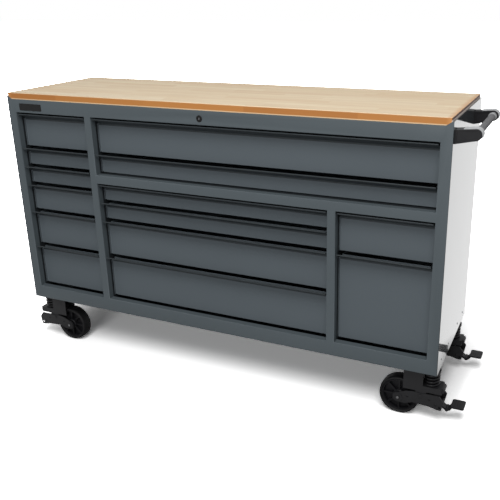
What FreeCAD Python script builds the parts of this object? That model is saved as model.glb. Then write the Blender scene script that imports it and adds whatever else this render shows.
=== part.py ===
# Rolling tool cabinet: a wide steel chest of fourteen drawers on four sprung swivel casters,
# with a wooden worktop and a push handle on its right side. Millimetres, +Z up.
# The model is drawn with X = 0 at the middle of the cabinet, Y = 0 at the face of the front frame
# (the drawers open towards -Y) and Z = 0 on the floor. Every piece is then moved by one shift, so
# that the origin lies on the floor under the middle of the whole assembly.
import FreeCAD, Part
import math
import os
import re

import Sketcher

doc = FreeCAD.newDocument("tool_cabinet")

# Driving dimensions

SIZES = {
    # cabinet
    "width": 1830, "depth": 550, "ground_gap": 214.5, "frame_height": 892, "rim_rise": 13,
    "stile": 40, "divider": 32, "side_column": 347, "bottom_rail": 57, "top_rail": 54,
    "mid_rail": 36, "frame_depth": 28, "frame_sheet": 1.5, "panel_sheet": 1.2,
    "corner_flat": 6, "corner_run": 25, "rim_width": 5.5, "rim_lip": 12, "foot_flange": 20,
    "post_depth": 40, "channel_width": 98, "channel_height": 28,
    # worktop
    "wood_thickness": 26.5, "wood_gap": 0.5, "wood_edge": 2, "wood_setback": 0.5,
    # drawers: height of the middle rail, and distances from the top of one pull to the top of the
    # next one below, for a frame of the planned height; they stretch with the frame
    "planned_height": 892, "mid_rail_level": 569, "lip_gap": 6, "face_gap": 2, "sill_gap": 3.5,
    "left_pitch_1": 143, "left_pitch_2": 80, "left_pitch_3": 80, "left_pitch_4": 120,
    "left_pitch_5": 160, "wide_pitch_1": 143, "middle_pitch_1": 75, "middle_pitch_2": 80,
    "middle_pitch_3": 160, "right_pitch_1": 155,
    "face_setback": 44, "face_side_gap": 2.3, "face_sheet": 1.2, "face_return": 18,
    "flange_front": 28, "lip_front": 2.5, "lip_side_gap": 5.5, "lip_drop": 24, "bead_radius": 2.6,
    "tray_sheet": 1, "tray_side_gap": 13, "tray_drop": 12, "tray_back_gap": 30,
    "rail_height": 32, "rail_reach": 8, "rail_rise": 8, "rail_start": 6, "slide_clearance": 0.3,
    "member_gap": 2.3,
    # lock
    "lock_drop": 30, "lock_radius": 9.5, "lock_flange_radius": 12.5, "lock_proud": 1.6,
    "lock_length": 24, "keyway_width": 1.6, "keyway_height": 9, "fit_gap": 0.05, "seat_gap": 0.3,
    # push handle
    "arm_root_drop": 61, "arm_root_height": 46, "arm_reach": 66, "grip_drop": 28,
    "arm_tip_radius": 19, "arm_thickness": 42, "front_arm": 20, "rear_arm": 385, "arm_wall": 3,
    "grip_tube_radius": 11, "grip_sleeve_radius": 12.5, "grip_collar_radius": 14,
    "grip_collar_length": 24, "grip_socket": 20,
    # casters: u is measured outwards from the swivel axis, away from the wheel
    "caster_inset": 90, "caster_front": 70, "caster_pitch": 400, "plate_length": 100,
    "plate_width": 84, "plate_sheet": 5.7, "plate_bolt_radius": 4.5, "plate_bolt_length": 76,
    "plate_bolt_width": 60, "race_collar_radius": 36, "race_collar_drop": 4, "race_radius": 30,
    "race_height": 5, "kingpin_radius": 8,
    "wheel_radius": 76, "wheel_width": 48, "wheel_trail": 55, "tread_shoulder": 4, "rim_radius": 60,
    "web_radius": 56, "web_thickness": 14, "hub_radius": 22, "hub_chamfer": 1, "hub_flare": 3,
    "hub_width": 44, "axle_radius": 6, "spoke_count": 8, "spoke_width": 5, "spoke_depth": 34,
    "spoke_root": 4,
    "fork_gap": 3, "fork_sheet": 4, "fork_left": 38, "fork_right": 35, "fork_low": 117.5,
    "wall_place": 29, "shelf_level": 140.5, "shelf_end": 103, "ear_width": 40, "ear_taper": 6,
    "ear_drop": 31, "end_roll_radius": 10, "end_roll_drop": 11, "end_roll_half": 22,
    "slot_half": 7, "slot_inner": 8, "slot_outer": 14,
    "pivot_place": 28, "pivot_level": 100, "pivot_radius": 6,
    "arm_gap": 0.5, "arm_sheet": 3.5, "arm_boss_radius": 20, "arm_boss_height": 3,
    "arm_top": 113, "arm_top_dip": 3, "arm_top_slope": 5, "arm_belly": 62, "arm_belly_rise": 4,
    "arm_belly_dip": 6, "tail_place": 114, "tail_level": 91, "tail_low": 55, "tail_inner": 8,
    "tail_outer": 7, "tail_shoulder": 2,
    "bolt_head_radius": 8, "spacer_radius": 10,
    "spring_place": 62, "spring_radius": 25.5, "spring_wire": 5, "spring_turns": 4,
    "spring_bend": 5.5, "post_radius": 5, "cap_radius": 31, "cap_sheet": 3, "cap_skirt": 7,
    "cap_clearance": 1.5,
    "bridge_sheet": 6, "bridge_half": 13,
    "pedal_place": 100, "pedal_level": 66, "pedal_pin_radius": 5, "pedal_hub_radius": 9,
    "pedal_start": 138, "pedal_end": 186, "pedal_width": 56, "pedal_sheet": 8, "pedal_top": 79,
    "pedal_corner": 8, "neck_width": 18, "groove_width": 3, "groove_depth": 1.2, "groove_pitch": 9,
    "groove_count": 5,
}

# Sizes that follow from the driving dimensions

FORMULAS = {
    "half": "width / 2",
    "side_half": "half - panel_sheet",
    "back_inner": "depth - panel_sheet",
    "left_start": "-half + stile",
    "left_end": "left_start + side_column",
    "middle_start": "left_end + divider",
    "right_end": "half - stile",
    "right_start": "right_end - side_column",
    "middle_end": "right_start - divider",
    "frame_top": "ground_gap + frame_height",
    "rim_top": "frame_top + rim_rise",
    "stretch": "frame_height / planned_height",
    "sill": "ground_gap + bottom_rail",
    "head": "frame_top - top_rail",
    "mid_under": "ground_gap + mid_rail_level * stretch",
    "mid_over": "mid_under + mid_rail",
    "left_lip_1": "head - lip_gap",
    "left_lip_2": "left_lip_1 - left_pitch_1 * stretch",
    "left_lip_3": "left_lip_2 - left_pitch_2 * stretch",
    "left_lip_4": "left_lip_3 - left_pitch_3 * stretch",
    "left_lip_5": "left_lip_4 - left_pitch_4 * stretch",
    "left_lip_6": "left_lip_5 - left_pitch_5 * stretch",
    "wide_lip_1": "head - lip_gap",
    "wide_lip_2": "wide_lip_1 - wide_pitch_1 * stretch",
    "middle_lip_1": "mid_under - lip_gap",
    "middle_lip_2": "middle_lip_1 - middle_pitch_1 * stretch",
    "middle_lip_3": "middle_lip_2 - middle_pitch_2 * stretch",
    "middle_lip_4": "middle_lip_3 - middle_pitch_3 * stretch",
    "right_lip_1": "mid_under - lip_gap",
    "right_lip_2": "right_lip_1 - right_pitch_1 * stretch",
    "face_back": "face_setback + face_sheet",
    "tray_back": "depth - tray_back_gap",
    "rail_front": "face_back + rail_start",
    "arm_axis": "half + arm_reach",
    "arm_axis_level": "frame_top - grip_drop",
    "arm_root_low": "frame_top - arm_root_drop",
    "arm_root_high": "arm_root_low + arm_root_height",
    "lock_level": "frame_top - lock_drop",
    "caster_place": "half - caster_inset",
    "plate_under": "ground_gap - plate_sheet",
    "race_top": "plate_under - seat_gap",
    "crown_top": "race_top - race_height",
    "fork_inner": "wheel_width / 2 + fork_gap",
    "fork_outer": "fork_inner + fork_sheet",
    "arm_inner": "fork_outer + arm_gap",
    "arm_outer": "arm_inner + arm_sheet",
    "cap_top": "plate_under - race_collar_drop - cap_clearance",
    "cap_under": "cap_top - cap_sheet",
    "left_extent": "half - caster_inset + tail_place",
    "right_extent": "half - caster_inset + pedal_end",
    "shift_x": "(left_extent - right_extent) / 2",
    "shift_y": "(lock_proud - depth) / 2",
}

sheet = doc.addObject("Spreadsheet::Sheet", "sizes")
for row, (name, value) in enumerate(list(SIZES.items()) + list(FORMULAS.items()), start=1):
    sheet.set(f"A{row}", name)
    sheet.set(f"B{row}", f"={value}" if name in FORMULAS else str(value))
    sheet.setAlias(f"B{row}", name)
doc.recompute()


def size(name):
    """Number held by a named cell."""
    return float(sheet.get(name))


def formula(text):
    """The same formula with each size's name pointing into the sheet."""
    def cell(match):
        word = match.group()
        return f"<<sizes>>.{word}" if word in SIZES or word in FORMULAS else word
    return re.sub(r"[a-z_][a-z_0-9]*", cell, text)


# Sketches and features

def rectangle(left, right, low, high):
    """Corner formulas of a rectangle between two levels each way."""
    return [(left, low), (right, low), (right, high), (left, high)]


def circle(across, up, radius):
    """A round outline: its centre and radius as formulas."""
    return {"centre": (across, up), "radius": radius}


def fix_point(sketch, geometry, end, place):
    """Tie one point of a sketch to its two formulas."""
    for kind, text in zip(("DistanceX", "DistanceY"), place):
        index = sketch.addConstraint(Sketcher.Constraint(kind, -1, 1, geometry, end, 1.0))
        sketch.setExpression(f"Constraints[{index}]", formula(text))


def draw_polygon(sketch, corners):
    """Closed outline of straight lines through the corner formulas."""
    count = len(corners)
    start = [FreeCAD.Vector(math.cos(2 * math.pi * i / count), math.sin(2 * math.pi * i / count), 0)
             for i in range(count)]
    lines = [sketch.addGeometry(Part.LineSegment(start[i], start[(i + 1) % count]))
             for i in range(count)]
    for i in range(count):
        sketch.addConstraint(Sketcher.Constraint("Coincident", lines[i - 1], 2, lines[i], 1))
        fix_point(sketch, lines[i], 1, corners[i])


def draw_circle(sketch, outline):
    """Round outline about its centre formulas."""
    ring = sketch.addGeometry(Part.Circle(FreeCAD.Vector(0, 0, 0), FreeCAD.Vector(0, 0, 1), 1))
    fix_point(sketch, ring, 3, outline["centre"])
    index = sketch.addConstraint(Sketcher.Constraint("Radius", ring, 1.0))
    sketch.setExpression(f"Constraints[{index}]", formula(outline["radius"]))


def draw(owner, plane, level, outlines, offset=("0", "0")):
    """Sketch of closed outlines on an origin plane of a body, at a level along the plane's axis."""
    sketch = owner.newObject("Sketcher::SketchObject", f"{owner.Name}_sketch")
    support = [feature for feature in owner.Origin.OriginFeatures if feature.Role == f"{plane}_Plane"][0]
    sketch.AttachmentSupport = [(support, "")]
    sketch.MapMode = "FlatFace"
    along = f"-({level})" if plane == "XZ" else level
    for axis, text in zip("xyz", (*offset, along)):
        sketch.setExpression(f"AttachmentOffset.Base.{axis}", formula(text))
    for outline in outlines:
        if isinstance(outline, dict):
            draw_circle(sketch, outline)
        else:
            draw_polygon(sketch, outline)
    return sketch


def add(owner, plane, outlines, low, high, offset=("0", "0")):
    """Pad between two levels along the axis that the plane faces."""
    sketch = draw(owner, plane, high if plane == "XZ" else low, outlines, offset)
    pad = owner.newObject("PartDesign::Pad", f"{owner.Name}_pad")
    pad.Profile = sketch
    pad.setExpression("Length", formula(f"({high}) - ({low})"))
    return pad


def cut(owner, plane, outlines, low, high, offset=("0", "0")):
    """Pocket between two levels along the axis that the plane faces."""
    sketch = draw(owner, plane, low if plane == "XZ" else high, outlines, offset)
    pocket = owner.newObject("PartDesign::Pocket", f"{owner.Name}_pocket")
    pocket.Profile = sketch
    pocket.setExpression("Length", formula(f"({high}) - ({low})"))
    return pocket


def round_edges(owner, radius, wanted):
    """Fillet on the edges of the last feature that a test picks by their midpoint and direction."""
    doc.recompute()
    base = owner.Tip
    names = []
    for number, edge in enumerate(base.Shape.Edges, start=1):
        if not isinstance(edge.Curve, Part.Line):
            continue
        middle = (edge.Vertexes[0].Point + edge.Vertexes[-1].Point) * 0.5
        if wanted(middle, edge.Curve.Direction):
            names.append(f"Edge{number}")
    fillet = owner.newObject("PartDesign::Fillet", f"{owner.Name}_fillet")
    fillet.Base = (base, names)
    fillet.setExpression("Radius", formula(radius))
    return fillet


TOLERANCE = 0.01


def near(point, targets):
    """True where a point lies on one of the (x, z) targets."""
    return any(math.hypot(point.x - x, point.z - z) < TOLERANCE for x, z in targets)


NODES = {}


def place(node, across="0", back="0", turned=False):
    """Move a finished sub-part to its place and enter it in the list of nodes."""
    if turned:
        node.Placement = FreeCAD.Placement(FreeCAD.Vector(), FreeCAD.Rotation(FreeCAD.Vector(0, 0, 1), 180))
    node.setExpression("Placement.Base.x", formula(f"shift_x + {across}"))
    node.setExpression("Placement.Base.y", formula(f"shift_y + {back}"))
    NODES[node.Label] = node


def new_body(name):
    """Empty body whose label names its file. Separate solids are allowed in it."""
    owner = doc.addObject("PartDesign::Body", name)
    owner.Label = name
    owner.AllowCompound = True
    return owner


# Cabinet shell

def build_front_frame():
    """One pressed front: face sheet with raised corners, folded returns round four openings."""
    owner = new_body("front_frame")
    face = [("-half", "ground_gap"), ("half", "ground_gap"), ("half", "rim_top"),
            ("half - corner_flat", "rim_top"), ("half - corner_run", "frame_top"),
            ("-half + corner_run", "frame_top"), ("-half + corner_flat", "rim_top"),
            ("-half", "rim_top")]
    add(owner, "XZ", [face], "0", "frame_sheet")
    x_bend = size("half") - size("corner_flat")
    x_foot = size("half") - size("corner_run")
    bends = [(side * x_bend, size("rim_top")) for side in (-1, 1)]
    bends += [(side * x_foot, size("frame_top")) for side in (-1, 1)]
    round_edges(owner, "corner_flat", lambda at, along: near(at, bends))
    add(owner, "XZ", [rectangle("-side_half", "side_half", "ground_gap", "frame_top")],
        "frame_sheet", "frame_depth")
    openings = [("left_start", "left_end", "sill", "head"),
                ("middle_start", "right_end", "mid_over", "head"),
                ("middle_start", "middle_end", "sill", "mid_under"),
                ("right_start", "right_end", "sill", "mid_under")]
    cut(owner, "XZ", [rectangle(*opening) for opening in openings], "0", "frame_depth")
    returns = [rectangle(f"{left} - frame_sheet", f"{right} + frame_sheet",
                         f"{low} - frame_sheet", f"{high} + frame_sheet")
               for left, right, low, high in openings]
    hollow = rectangle("-side_half + frame_sheet", "side_half - frame_sheet",
                       "ground_gap + frame_sheet", "frame_top - frame_sheet")
    cut(owner, "XZ", [hollow] + returns, "frame_sheet", "frame_depth")
    cut(owner, "XZ", [circle("0", "lock_level", "lock_radius + fit_gap")],
        "0", "frame_sheet")
    place(owner)


def build_side_panel(name, side):
    """Side sheet with a hemmed rim along its top and a flange along its foot, behind the frame."""
    wall = [("half", "ground_gap"), ("side_half", "ground_gap"), ("side_half", "rim_top - panel_sheet"),
            ("half - rim_width + panel_sheet", "rim_top - panel_sheet"),
            ("half - rim_width + panel_sheet", "rim_top - rim_lip"),
            ("half - rim_width", "rim_top - rim_lip"), ("half - rim_width", "rim_top"),
            ("half", "rim_top")]
    flange = rectangle("half - foot_flange", "side_half",
                       "ground_gap + panel_sheet", "ground_gap + 2 * panel_sheet")
    owner = new_body(name)
    for section, front in ((wall, "frame_sheet"), (flange, "frame_depth")):
        outline = [(f"{side} * ({across})", level) for across, level in section]
        add(owner, "XZ", [outline], front, "back_inner")
    place(owner)


def build_back_panel():
    """Rear sheet over the side panels' edges, with the same hemmed rim."""
    owner = new_body("back_panel")
    add(owner, "XZ", [rectangle("-half", "half", "ground_gap", "rim_top")], "back_inner", "depth")
    hem = [("back_inner", "rim_top"), ("depth - rim_width", "rim_top"),
           ("depth - rim_width", "rim_top - rim_lip"),
           ("depth - rim_width + panel_sheet", "rim_top - rim_lip"),
           ("depth - rim_width + panel_sheet", "rim_top - panel_sheet"),
           ("back_inner", "rim_top - panel_sheet")]
    add(owner, "YZ", [hem], "-half + rim_width", "half - rim_width")
    place(owner)


def build_bottom_pan():
    """Floor sheet of the cabinet, inside the frame's return, the sides and the back."""
    owner = new_body("bottom_pan")
    floor = rectangle("-side_half", "side_half", "frame_depth", "back_inner")
    add(owner, "XY", [floor], "ground_gap", "ground_gap + panel_sheet")
    place(owner)


def build_base_channels():
    """Hat channels across the floor above the casters, which carry the mounting plates."""
    owner = new_body("base_channels")
    under = "ground_gap + panel_sheet"
    outlines = []
    inner = []
    for side in ("-1", "1"):
        low = f"{side} * caster_place - channel_width / 2"
        high = f"{side} * caster_place + channel_width / 2"
        outlines.append(rectangle(low, high, under, f"{under} + channel_height"))
        inner.append(rectangle(f"{low} + frame_sheet", f"{high} - frame_sheet",
                               under, f"{under} + channel_height - frame_sheet"))
    add(owner, "XZ", outlines, "frame_depth", "back_inner")
    cut(owner, "XZ", inner, "frame_depth", "back_inner")
    place(owner)


def build_top_tray():
    """Sheet under the worktop, level with the top of the front frame."""
    owner = new_body("top_tray")
    deck = rectangle("-side_half", "side_half", "frame_depth", "back_inner")
    add(owner, "XY", [deck], "frame_top - panel_sheet", "frame_top")
    place(owner)


def ring(left, right, low, high, wall):
    """Outline of a hollow box section: its outer and inner rectangles."""
    return [rectangle(left, right, low, high),
            rectangle(f"{left} + {wall}", f"{right} - {wall}", f"{low} + {wall}", f"{high} - {wall}")]


def build_inner_frame():
    """Hollow posts beside the outer drawers, partitions behind the dividers, shelf behind the rail."""
    floor = "ground_gap + 2 * panel_sheet"
    roof = "frame_top - panel_sheet"
    whole = ("frame_depth", "back_inner")
    posts = [("frame_depth", "frame_depth + post_depth"), ("back_inner - post_depth", "back_inner")]
    tubes = [(left, right, *post, roof) for left, right in (("-side_half", "left_start"),
                                                            ("right_end", "side_half")) for post in posts]
    tubes += [("left_end", "middle_start", *whole, roof), ("middle_end", "right_start", *whole, "mid_under")]
    pieces = []
    for left, right, front, back, top in tubes:
        tube = new_body(f"frame_tube_{len(pieces) + 1}")
        add(tube, "XY", ring(left, right, front, back, "panel_sheet"), floor, top)
        pieces.append(tube)
    shelf = new_body("frame_shelf")
    add(shelf, "YZ", ring(*whole, "mid_under", "mid_over", "panel_sheet"), "middle_start", "right_end")
    group = doc.addObject("Part::Compound", "inner_frame")
    group.Label = "inner_frame"
    group.Links = pieces + [shelf]
    place(group)


def build_worktop():
    """Solid block-glued wooden top, lying in the rim with its edges eased."""
    owner = new_body("worktop")
    front = "frame_sheet + wood_setback"
    board = rectangle("-half + rim_width + wood_gap", "half - rim_width - wood_gap",
                      front, "depth - rim_width - wood_gap")
    add(owner, "XY", [board], "frame_top", "frame_top + wood_thickness")
    top = size("frame_top") + size("wood_thickness")
    round_edges(owner, "wood_edge", lambda at, along: abs(at.z - top) < TOLERANCE)
    place(owner)


# Drawers

COLUMNS = {
    "left": ("left_start", "left_end", "sill", 6),
    "wide": ("middle_start", "right_end", "mid_over", 2),
    "middle": ("middle_start", "middle_end", "sill", 4),
    "right": ("right_start", "right_end", "sill", 2),
}


def drawers():
    """Name, sides, face bottom and pull top of every drawer, as formulas."""
    for column, (left, right, bottom, count) in COLUMNS.items():
        for number in range(1, count + 1):
            lip = f"{column}_lip_{number}"
            foot = f"{bottom} + sill_gap" if number == count else f"{column}_lip_{number + 1} + face_gap"
            yield f"{column}_drawer_{number}", left, right, foot, lip


def build_drawer_front(name, left, right, foot, lip):
    """Folded front: recessed face with side flanges, and a full-width pull sloping up to a bead."""
    owner = new_body(f"{name}_front")
    face_left = f"{left} + face_side_gap"
    face_right = f"{right} - face_side_gap"
    shoulder = f"{lip} - lip_drop"
    add(owner, "YZ", [rectangle("face_setback", "face_back", foot, shoulder)], face_left, face_right)
    foot_fold = rectangle("face_back", "face_back + face_return", foot, f"{foot} + face_sheet")
    add(owner, "YZ", [foot_fold], face_left, face_right)
    flange = rectangle("flange_front", "face_setback", foot, shoulder)
    add(owner, "YZ", [flange], face_left, f"{face_left} + face_sheet")
    add(owner, "YZ", [flange], f"{face_right} - face_sheet", face_right)
    bead_level = f"{lip} - bead_radius"
    web = [("face_setback", shoulder), ("face_back", shoulder), ("face_back", f"{shoulder} + face_sheet"),
           ("lip_front + bead_radius", f"{bead_level} + face_sheet / 2"),
           ("lip_front + bead_radius", f"{bead_level} - face_sheet / 2")]
    add(owner, "YZ", [web], f"{left} + lip_side_gap", f"{right} - lip_side_gap")
    bead = circle("lip_front + bead_radius", bead_level, "bead_radius")
    add(owner, "YZ", [bead], f"{left} + lip_side_gap", f"{right} - lip_side_gap")
    place(owner)


def build_drawer_tray(name, left, right, foot, lip):
    """Open sheet box behind the front, with the inner slide member along each side."""
    owner = new_body(f"{name}_tray")
    wall_left = f"{left} + tray_side_gap"
    wall_right = f"{right} - tray_side_gap"
    floor = f"{foot} + face_sheet"
    edge = f"{lip} - tray_drop"
    add(owner, "XY", [rectangle(wall_left, wall_right, "face_back", "tray_back")], floor, edge)
    inside = rectangle(f"{wall_left} + tray_sheet", f"{wall_right} - tray_sheet",
                       "face_back + tray_sheet", "tray_back - tray_sheet")
    cut(owner, "XY", [inside], f"{floor} + tray_sheet", edge)
    under = f"{floor} + rail_rise + face_sheet + slide_clearance"
    over = f"{floor} + rail_rise + rail_height - face_sheet - slide_clearance"
    members = []
    for wall, tip, inwards in ((wall_left, f"{left} + member_gap", "-"),
                               (wall_right, f"{right} - member_gap", "+")):
        back = f"{wall} {inwards} face_sheet"
        members.append([(wall, under), (tip, under), (tip, f"{under} + face_sheet"),
                        (back, f"{under} + face_sheet"), (back, f"{over} - face_sheet"),
                        (tip, f"{over} - face_sheet"), (tip, over), (wall, over)])
    add(owner, "XZ", members, "rail_front", "tray_back")
    place(owner)


def block(name, across, back, up):
    """Box between two formulas each way."""
    box = doc.addObject("Part::Box", name)
    for length, axis, (low, high) in zip(("Length", "Width", "Height"), "xyz", (across, back, up)):
        box.setExpression(length, formula(f"({high}) - ({low})"))
        box.setExpression(f"Placement.Base.{axis}", formula(low))
    return box


def build_slide_rails():
    """The fixed slide members, one channel on each side of every drawer."""
    rails = []
    for name, left, right, foot, lip in drawers():
        low = f"{foot} + face_sheet + rail_rise"
        high = f"{low} + rail_height"
        for start, end, open_start, open_end in (
                (left, f"{left} + rail_reach", f"{left} + face_sheet", f"{left} + rail_reach"),
                (f"{right} - rail_reach", right, f"{right} - rail_reach", f"{right} - face_sheet")):
            outer = block(f"{name}_rail", (start, end), ("rail_front", "tray_back"), (low, high))
            inner = block(f"{name}_rail_inside", (open_start, open_end), ("rail_front", "tray_back"),
                          (f"{low} + face_sheet", f"{high} - face_sheet"))
            rail = doc.addObject("Part::Cut", f"{name}_channel")
            rail.Base = outer
            rail.Tool = inner
            rails.append(rail)
    group = doc.addObject("Part::Compound", "slide_rails")
    group.Label = "slide_rails"
    group.Links = rails
    place(group)


# Lock and push handle

def build_lock_barrel():
    """Round key lock in the middle of the top rail."""
    owner = new_body("lock_barrel")
    add(owner, "XZ", [circle("0", "lock_level", "lock_radius")], "-seat_gap", "lock_length")
    add(owner, "XZ", [circle("0", "lock_level", "lock_flange_radius")], "-lock_proud", "-seat_gap")
    keyway = rectangle("-keyway_width / 2", "keyway_width / 2",
                       "lock_level - keyway_height / 2", "lock_level + keyway_height / 2")
    cut(owner, "XZ", [keyway], "-lock_proud", "lock_length / 2")
    place(owner)


def build_handle_arms():
    """The two tapered arms on the right side that hold the push handle's grip."""
    owner = new_body("handle_arms")
    taper = [("half", "arm_root_low"), ("arm_axis", "arm_axis_level - arm_tip_radius"),
             ("arm_axis", "arm_axis_level + arm_tip_radius"), ("half", "arm_root_high")]
    hollow = [("half", "arm_root_low + arm_wall"),
              ("arm_axis - arm_tip_radius", "arm_axis_level - arm_tip_radius + 2 * arm_wall"),
              ("arm_axis - arm_tip_radius", "arm_axis_level + arm_tip_radius - 2 * arm_wall"),
              ("half", "arm_root_high - arm_wall")]
    tip = circle("arm_axis", "arm_axis_level", "arm_tip_radius")
    for start in ("front_arm", "rear_arm"):
        add(owner, "XZ", [taper], start, f"{start} + arm_thickness")
        add(owner, "XZ", [tip], start, f"{start} + arm_thickness")
        cut(owner, "XZ", [hollow], f"{start} + arm_wall", f"{start} + arm_thickness - arm_wall")
    socket = circle("arm_axis", "arm_axis_level", "grip_tube_radius + fit_gap")
    front_inner = "front_arm + arm_thickness"
    cut(owner, "XZ", [socket], f"{front_inner} - grip_socket", front_inner)
    cut(owner, "XZ", [socket], "rear_arm", "rear_arm + grip_socket")
    place(owner)


def build_handle_grip():
    """Round grip between the arms: tube ends in the sockets, a collar at each arm, a sleeve between."""
    owner = new_body("handle_grip")
    start = "front_arm + arm_thickness"
    end = "rear_arm"
    spans = (("grip_tube_radius", f"{start} - grip_socket", f"{end} + grip_socket"),
             ("grip_collar_radius", start, f"{start} + grip_collar_length"),
             ("grip_collar_radius", f"{end} - grip_collar_length", end),
             ("grip_sleeve_radius", f"{start} + grip_collar_length", f"{end} - grip_collar_length"))
    for radius, low, high in spans:
        add(owner, "XZ", [circle("arm_axis", "arm_axis_level", radius)], low, high)
    place(owner)


# Casters

CASTERS = {
    "front_left": ("-caster_place", "caster_front", True),
    "rear_left": ("-caster_place", "caster_front + caster_pitch", True),
    "front_right": ("caster_place", "caster_front", False),
    "rear_right": ("caster_place", "caster_front + caster_pitch", False),
}
BRAKED = ("front_right", "rear_right")


def build_mount_plates():
    """Bolted top plate of each caster, with the collar of the swivel race under it."""
    owner = new_body("caster_mount_plates")
    plates = []
    collars = []
    for across, back, turned in CASTERS.values():
        plates.append(rectangle(f"{across} - plate_length / 2", f"{across} + plate_length / 2",
                                f"{back} - plate_width / 2", f"{back} + plate_width / 2"))
        plates.append(circle(across, back, "kingpin_radius + fit_gap"))
        for one in ("-", "+"):
            for other in ("-", "+"):
                plates.append(circle(f"{across} {one} plate_bolt_length / 2",
                                     f"{back} {other} plate_bolt_width / 2", "plate_bolt_radius"))
        collars.append(circle(across, back, "race_collar_radius"))
        collars.append(circle(across, back, "race_radius + seat_gap"))
    add(owner, "XY", plates, "plate_under", "ground_gap")
    add(owner, "XY", collars, "plate_under - race_collar_drop", "plate_under")
    place(owner)


def build_yoke(name):
    """Pressed fork: two cheeks, a crown under the race, a shelf for the spring, ears for the pivot."""
    owner = new_body(f"{name}_yoke")
    ear_left = "pivot_place - ear_width / 2"
    ear_right = "pivot_place + ear_width / 2"
    ear_foot = "fork_low - ear_drop"
    cheek = [("-fork_left", "fork_low"), (ear_left, "fork_low"), (f"{ear_left} + ear_taper", ear_foot),
             (f"{ear_right} - ear_taper", ear_foot), (ear_right, "fork_low"), ("shelf_end", "fork_low"),
             ("shelf_end", "shelf_level"), ("fork_right", "shelf_level"), ("fork_right", "crown_top"),
             ("-fork_left", "crown_top")]
    add(owner, "XZ", [cheek], "-fork_outer", "fork_outer")
    foot_half = size("ear_width") / 2 - size("ear_taper")
    feet = [(size("pivot_place") + side * foot_half, size("fork_low") - size("ear_drop")) for side in (-1, 1)]
    round_edges(owner, "pivot_radius", lambda at, along: near(at, feet))
    below = f"{ear_foot} - fork_sheet"
    room = [("-fork_left - fork_sheet", below), ("shelf_end - fork_sheet", below),
            ("shelf_end - fork_sheet", "shelf_level - fork_sheet"),
            ("wall_place - fork_sheet", "shelf_level - fork_sheet"),
            ("wall_place - fork_sheet", "crown_top - fork_sheet"),
            ("-fork_left - fork_sheet", "crown_top - fork_sheet")]
    cut(owner, "XZ", [room], "-fork_inner", "fork_inner")
    spring_room = rectangle("wall_place", "fork_right + fork_sheet",
                            "shelf_level", "crown_top + fork_sheet")
    cut(owner, "XZ", [spring_room], "-fork_inner", "fork_inner")
    slot = rectangle("spring_place - slot_inner", "spring_place + slot_outer", "-slot_half", "slot_half")
    cut(owner, "XY", [slot], "shelf_level - fork_sheet", "shelf_level")
    cut(owner, "XZ", [circle("pivot_place", "pivot_level", "pivot_radius + fit_gap")],
        "-fork_outer", "fork_outer")
    roll = circle("shelf_end", "shelf_level - end_roll_drop", "end_roll_radius")
    add(owner, "XZ", [roll], "-end_roll_half", "end_roll_half")
    add(owner, "XY", [circle("0", "0", "race_radius")], "crown_top", "race_top")
    add(owner, "XY", [circle("0", "0", "kingpin_radius")], "race_top", "ground_gap - seat_gap")
    return owner


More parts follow.
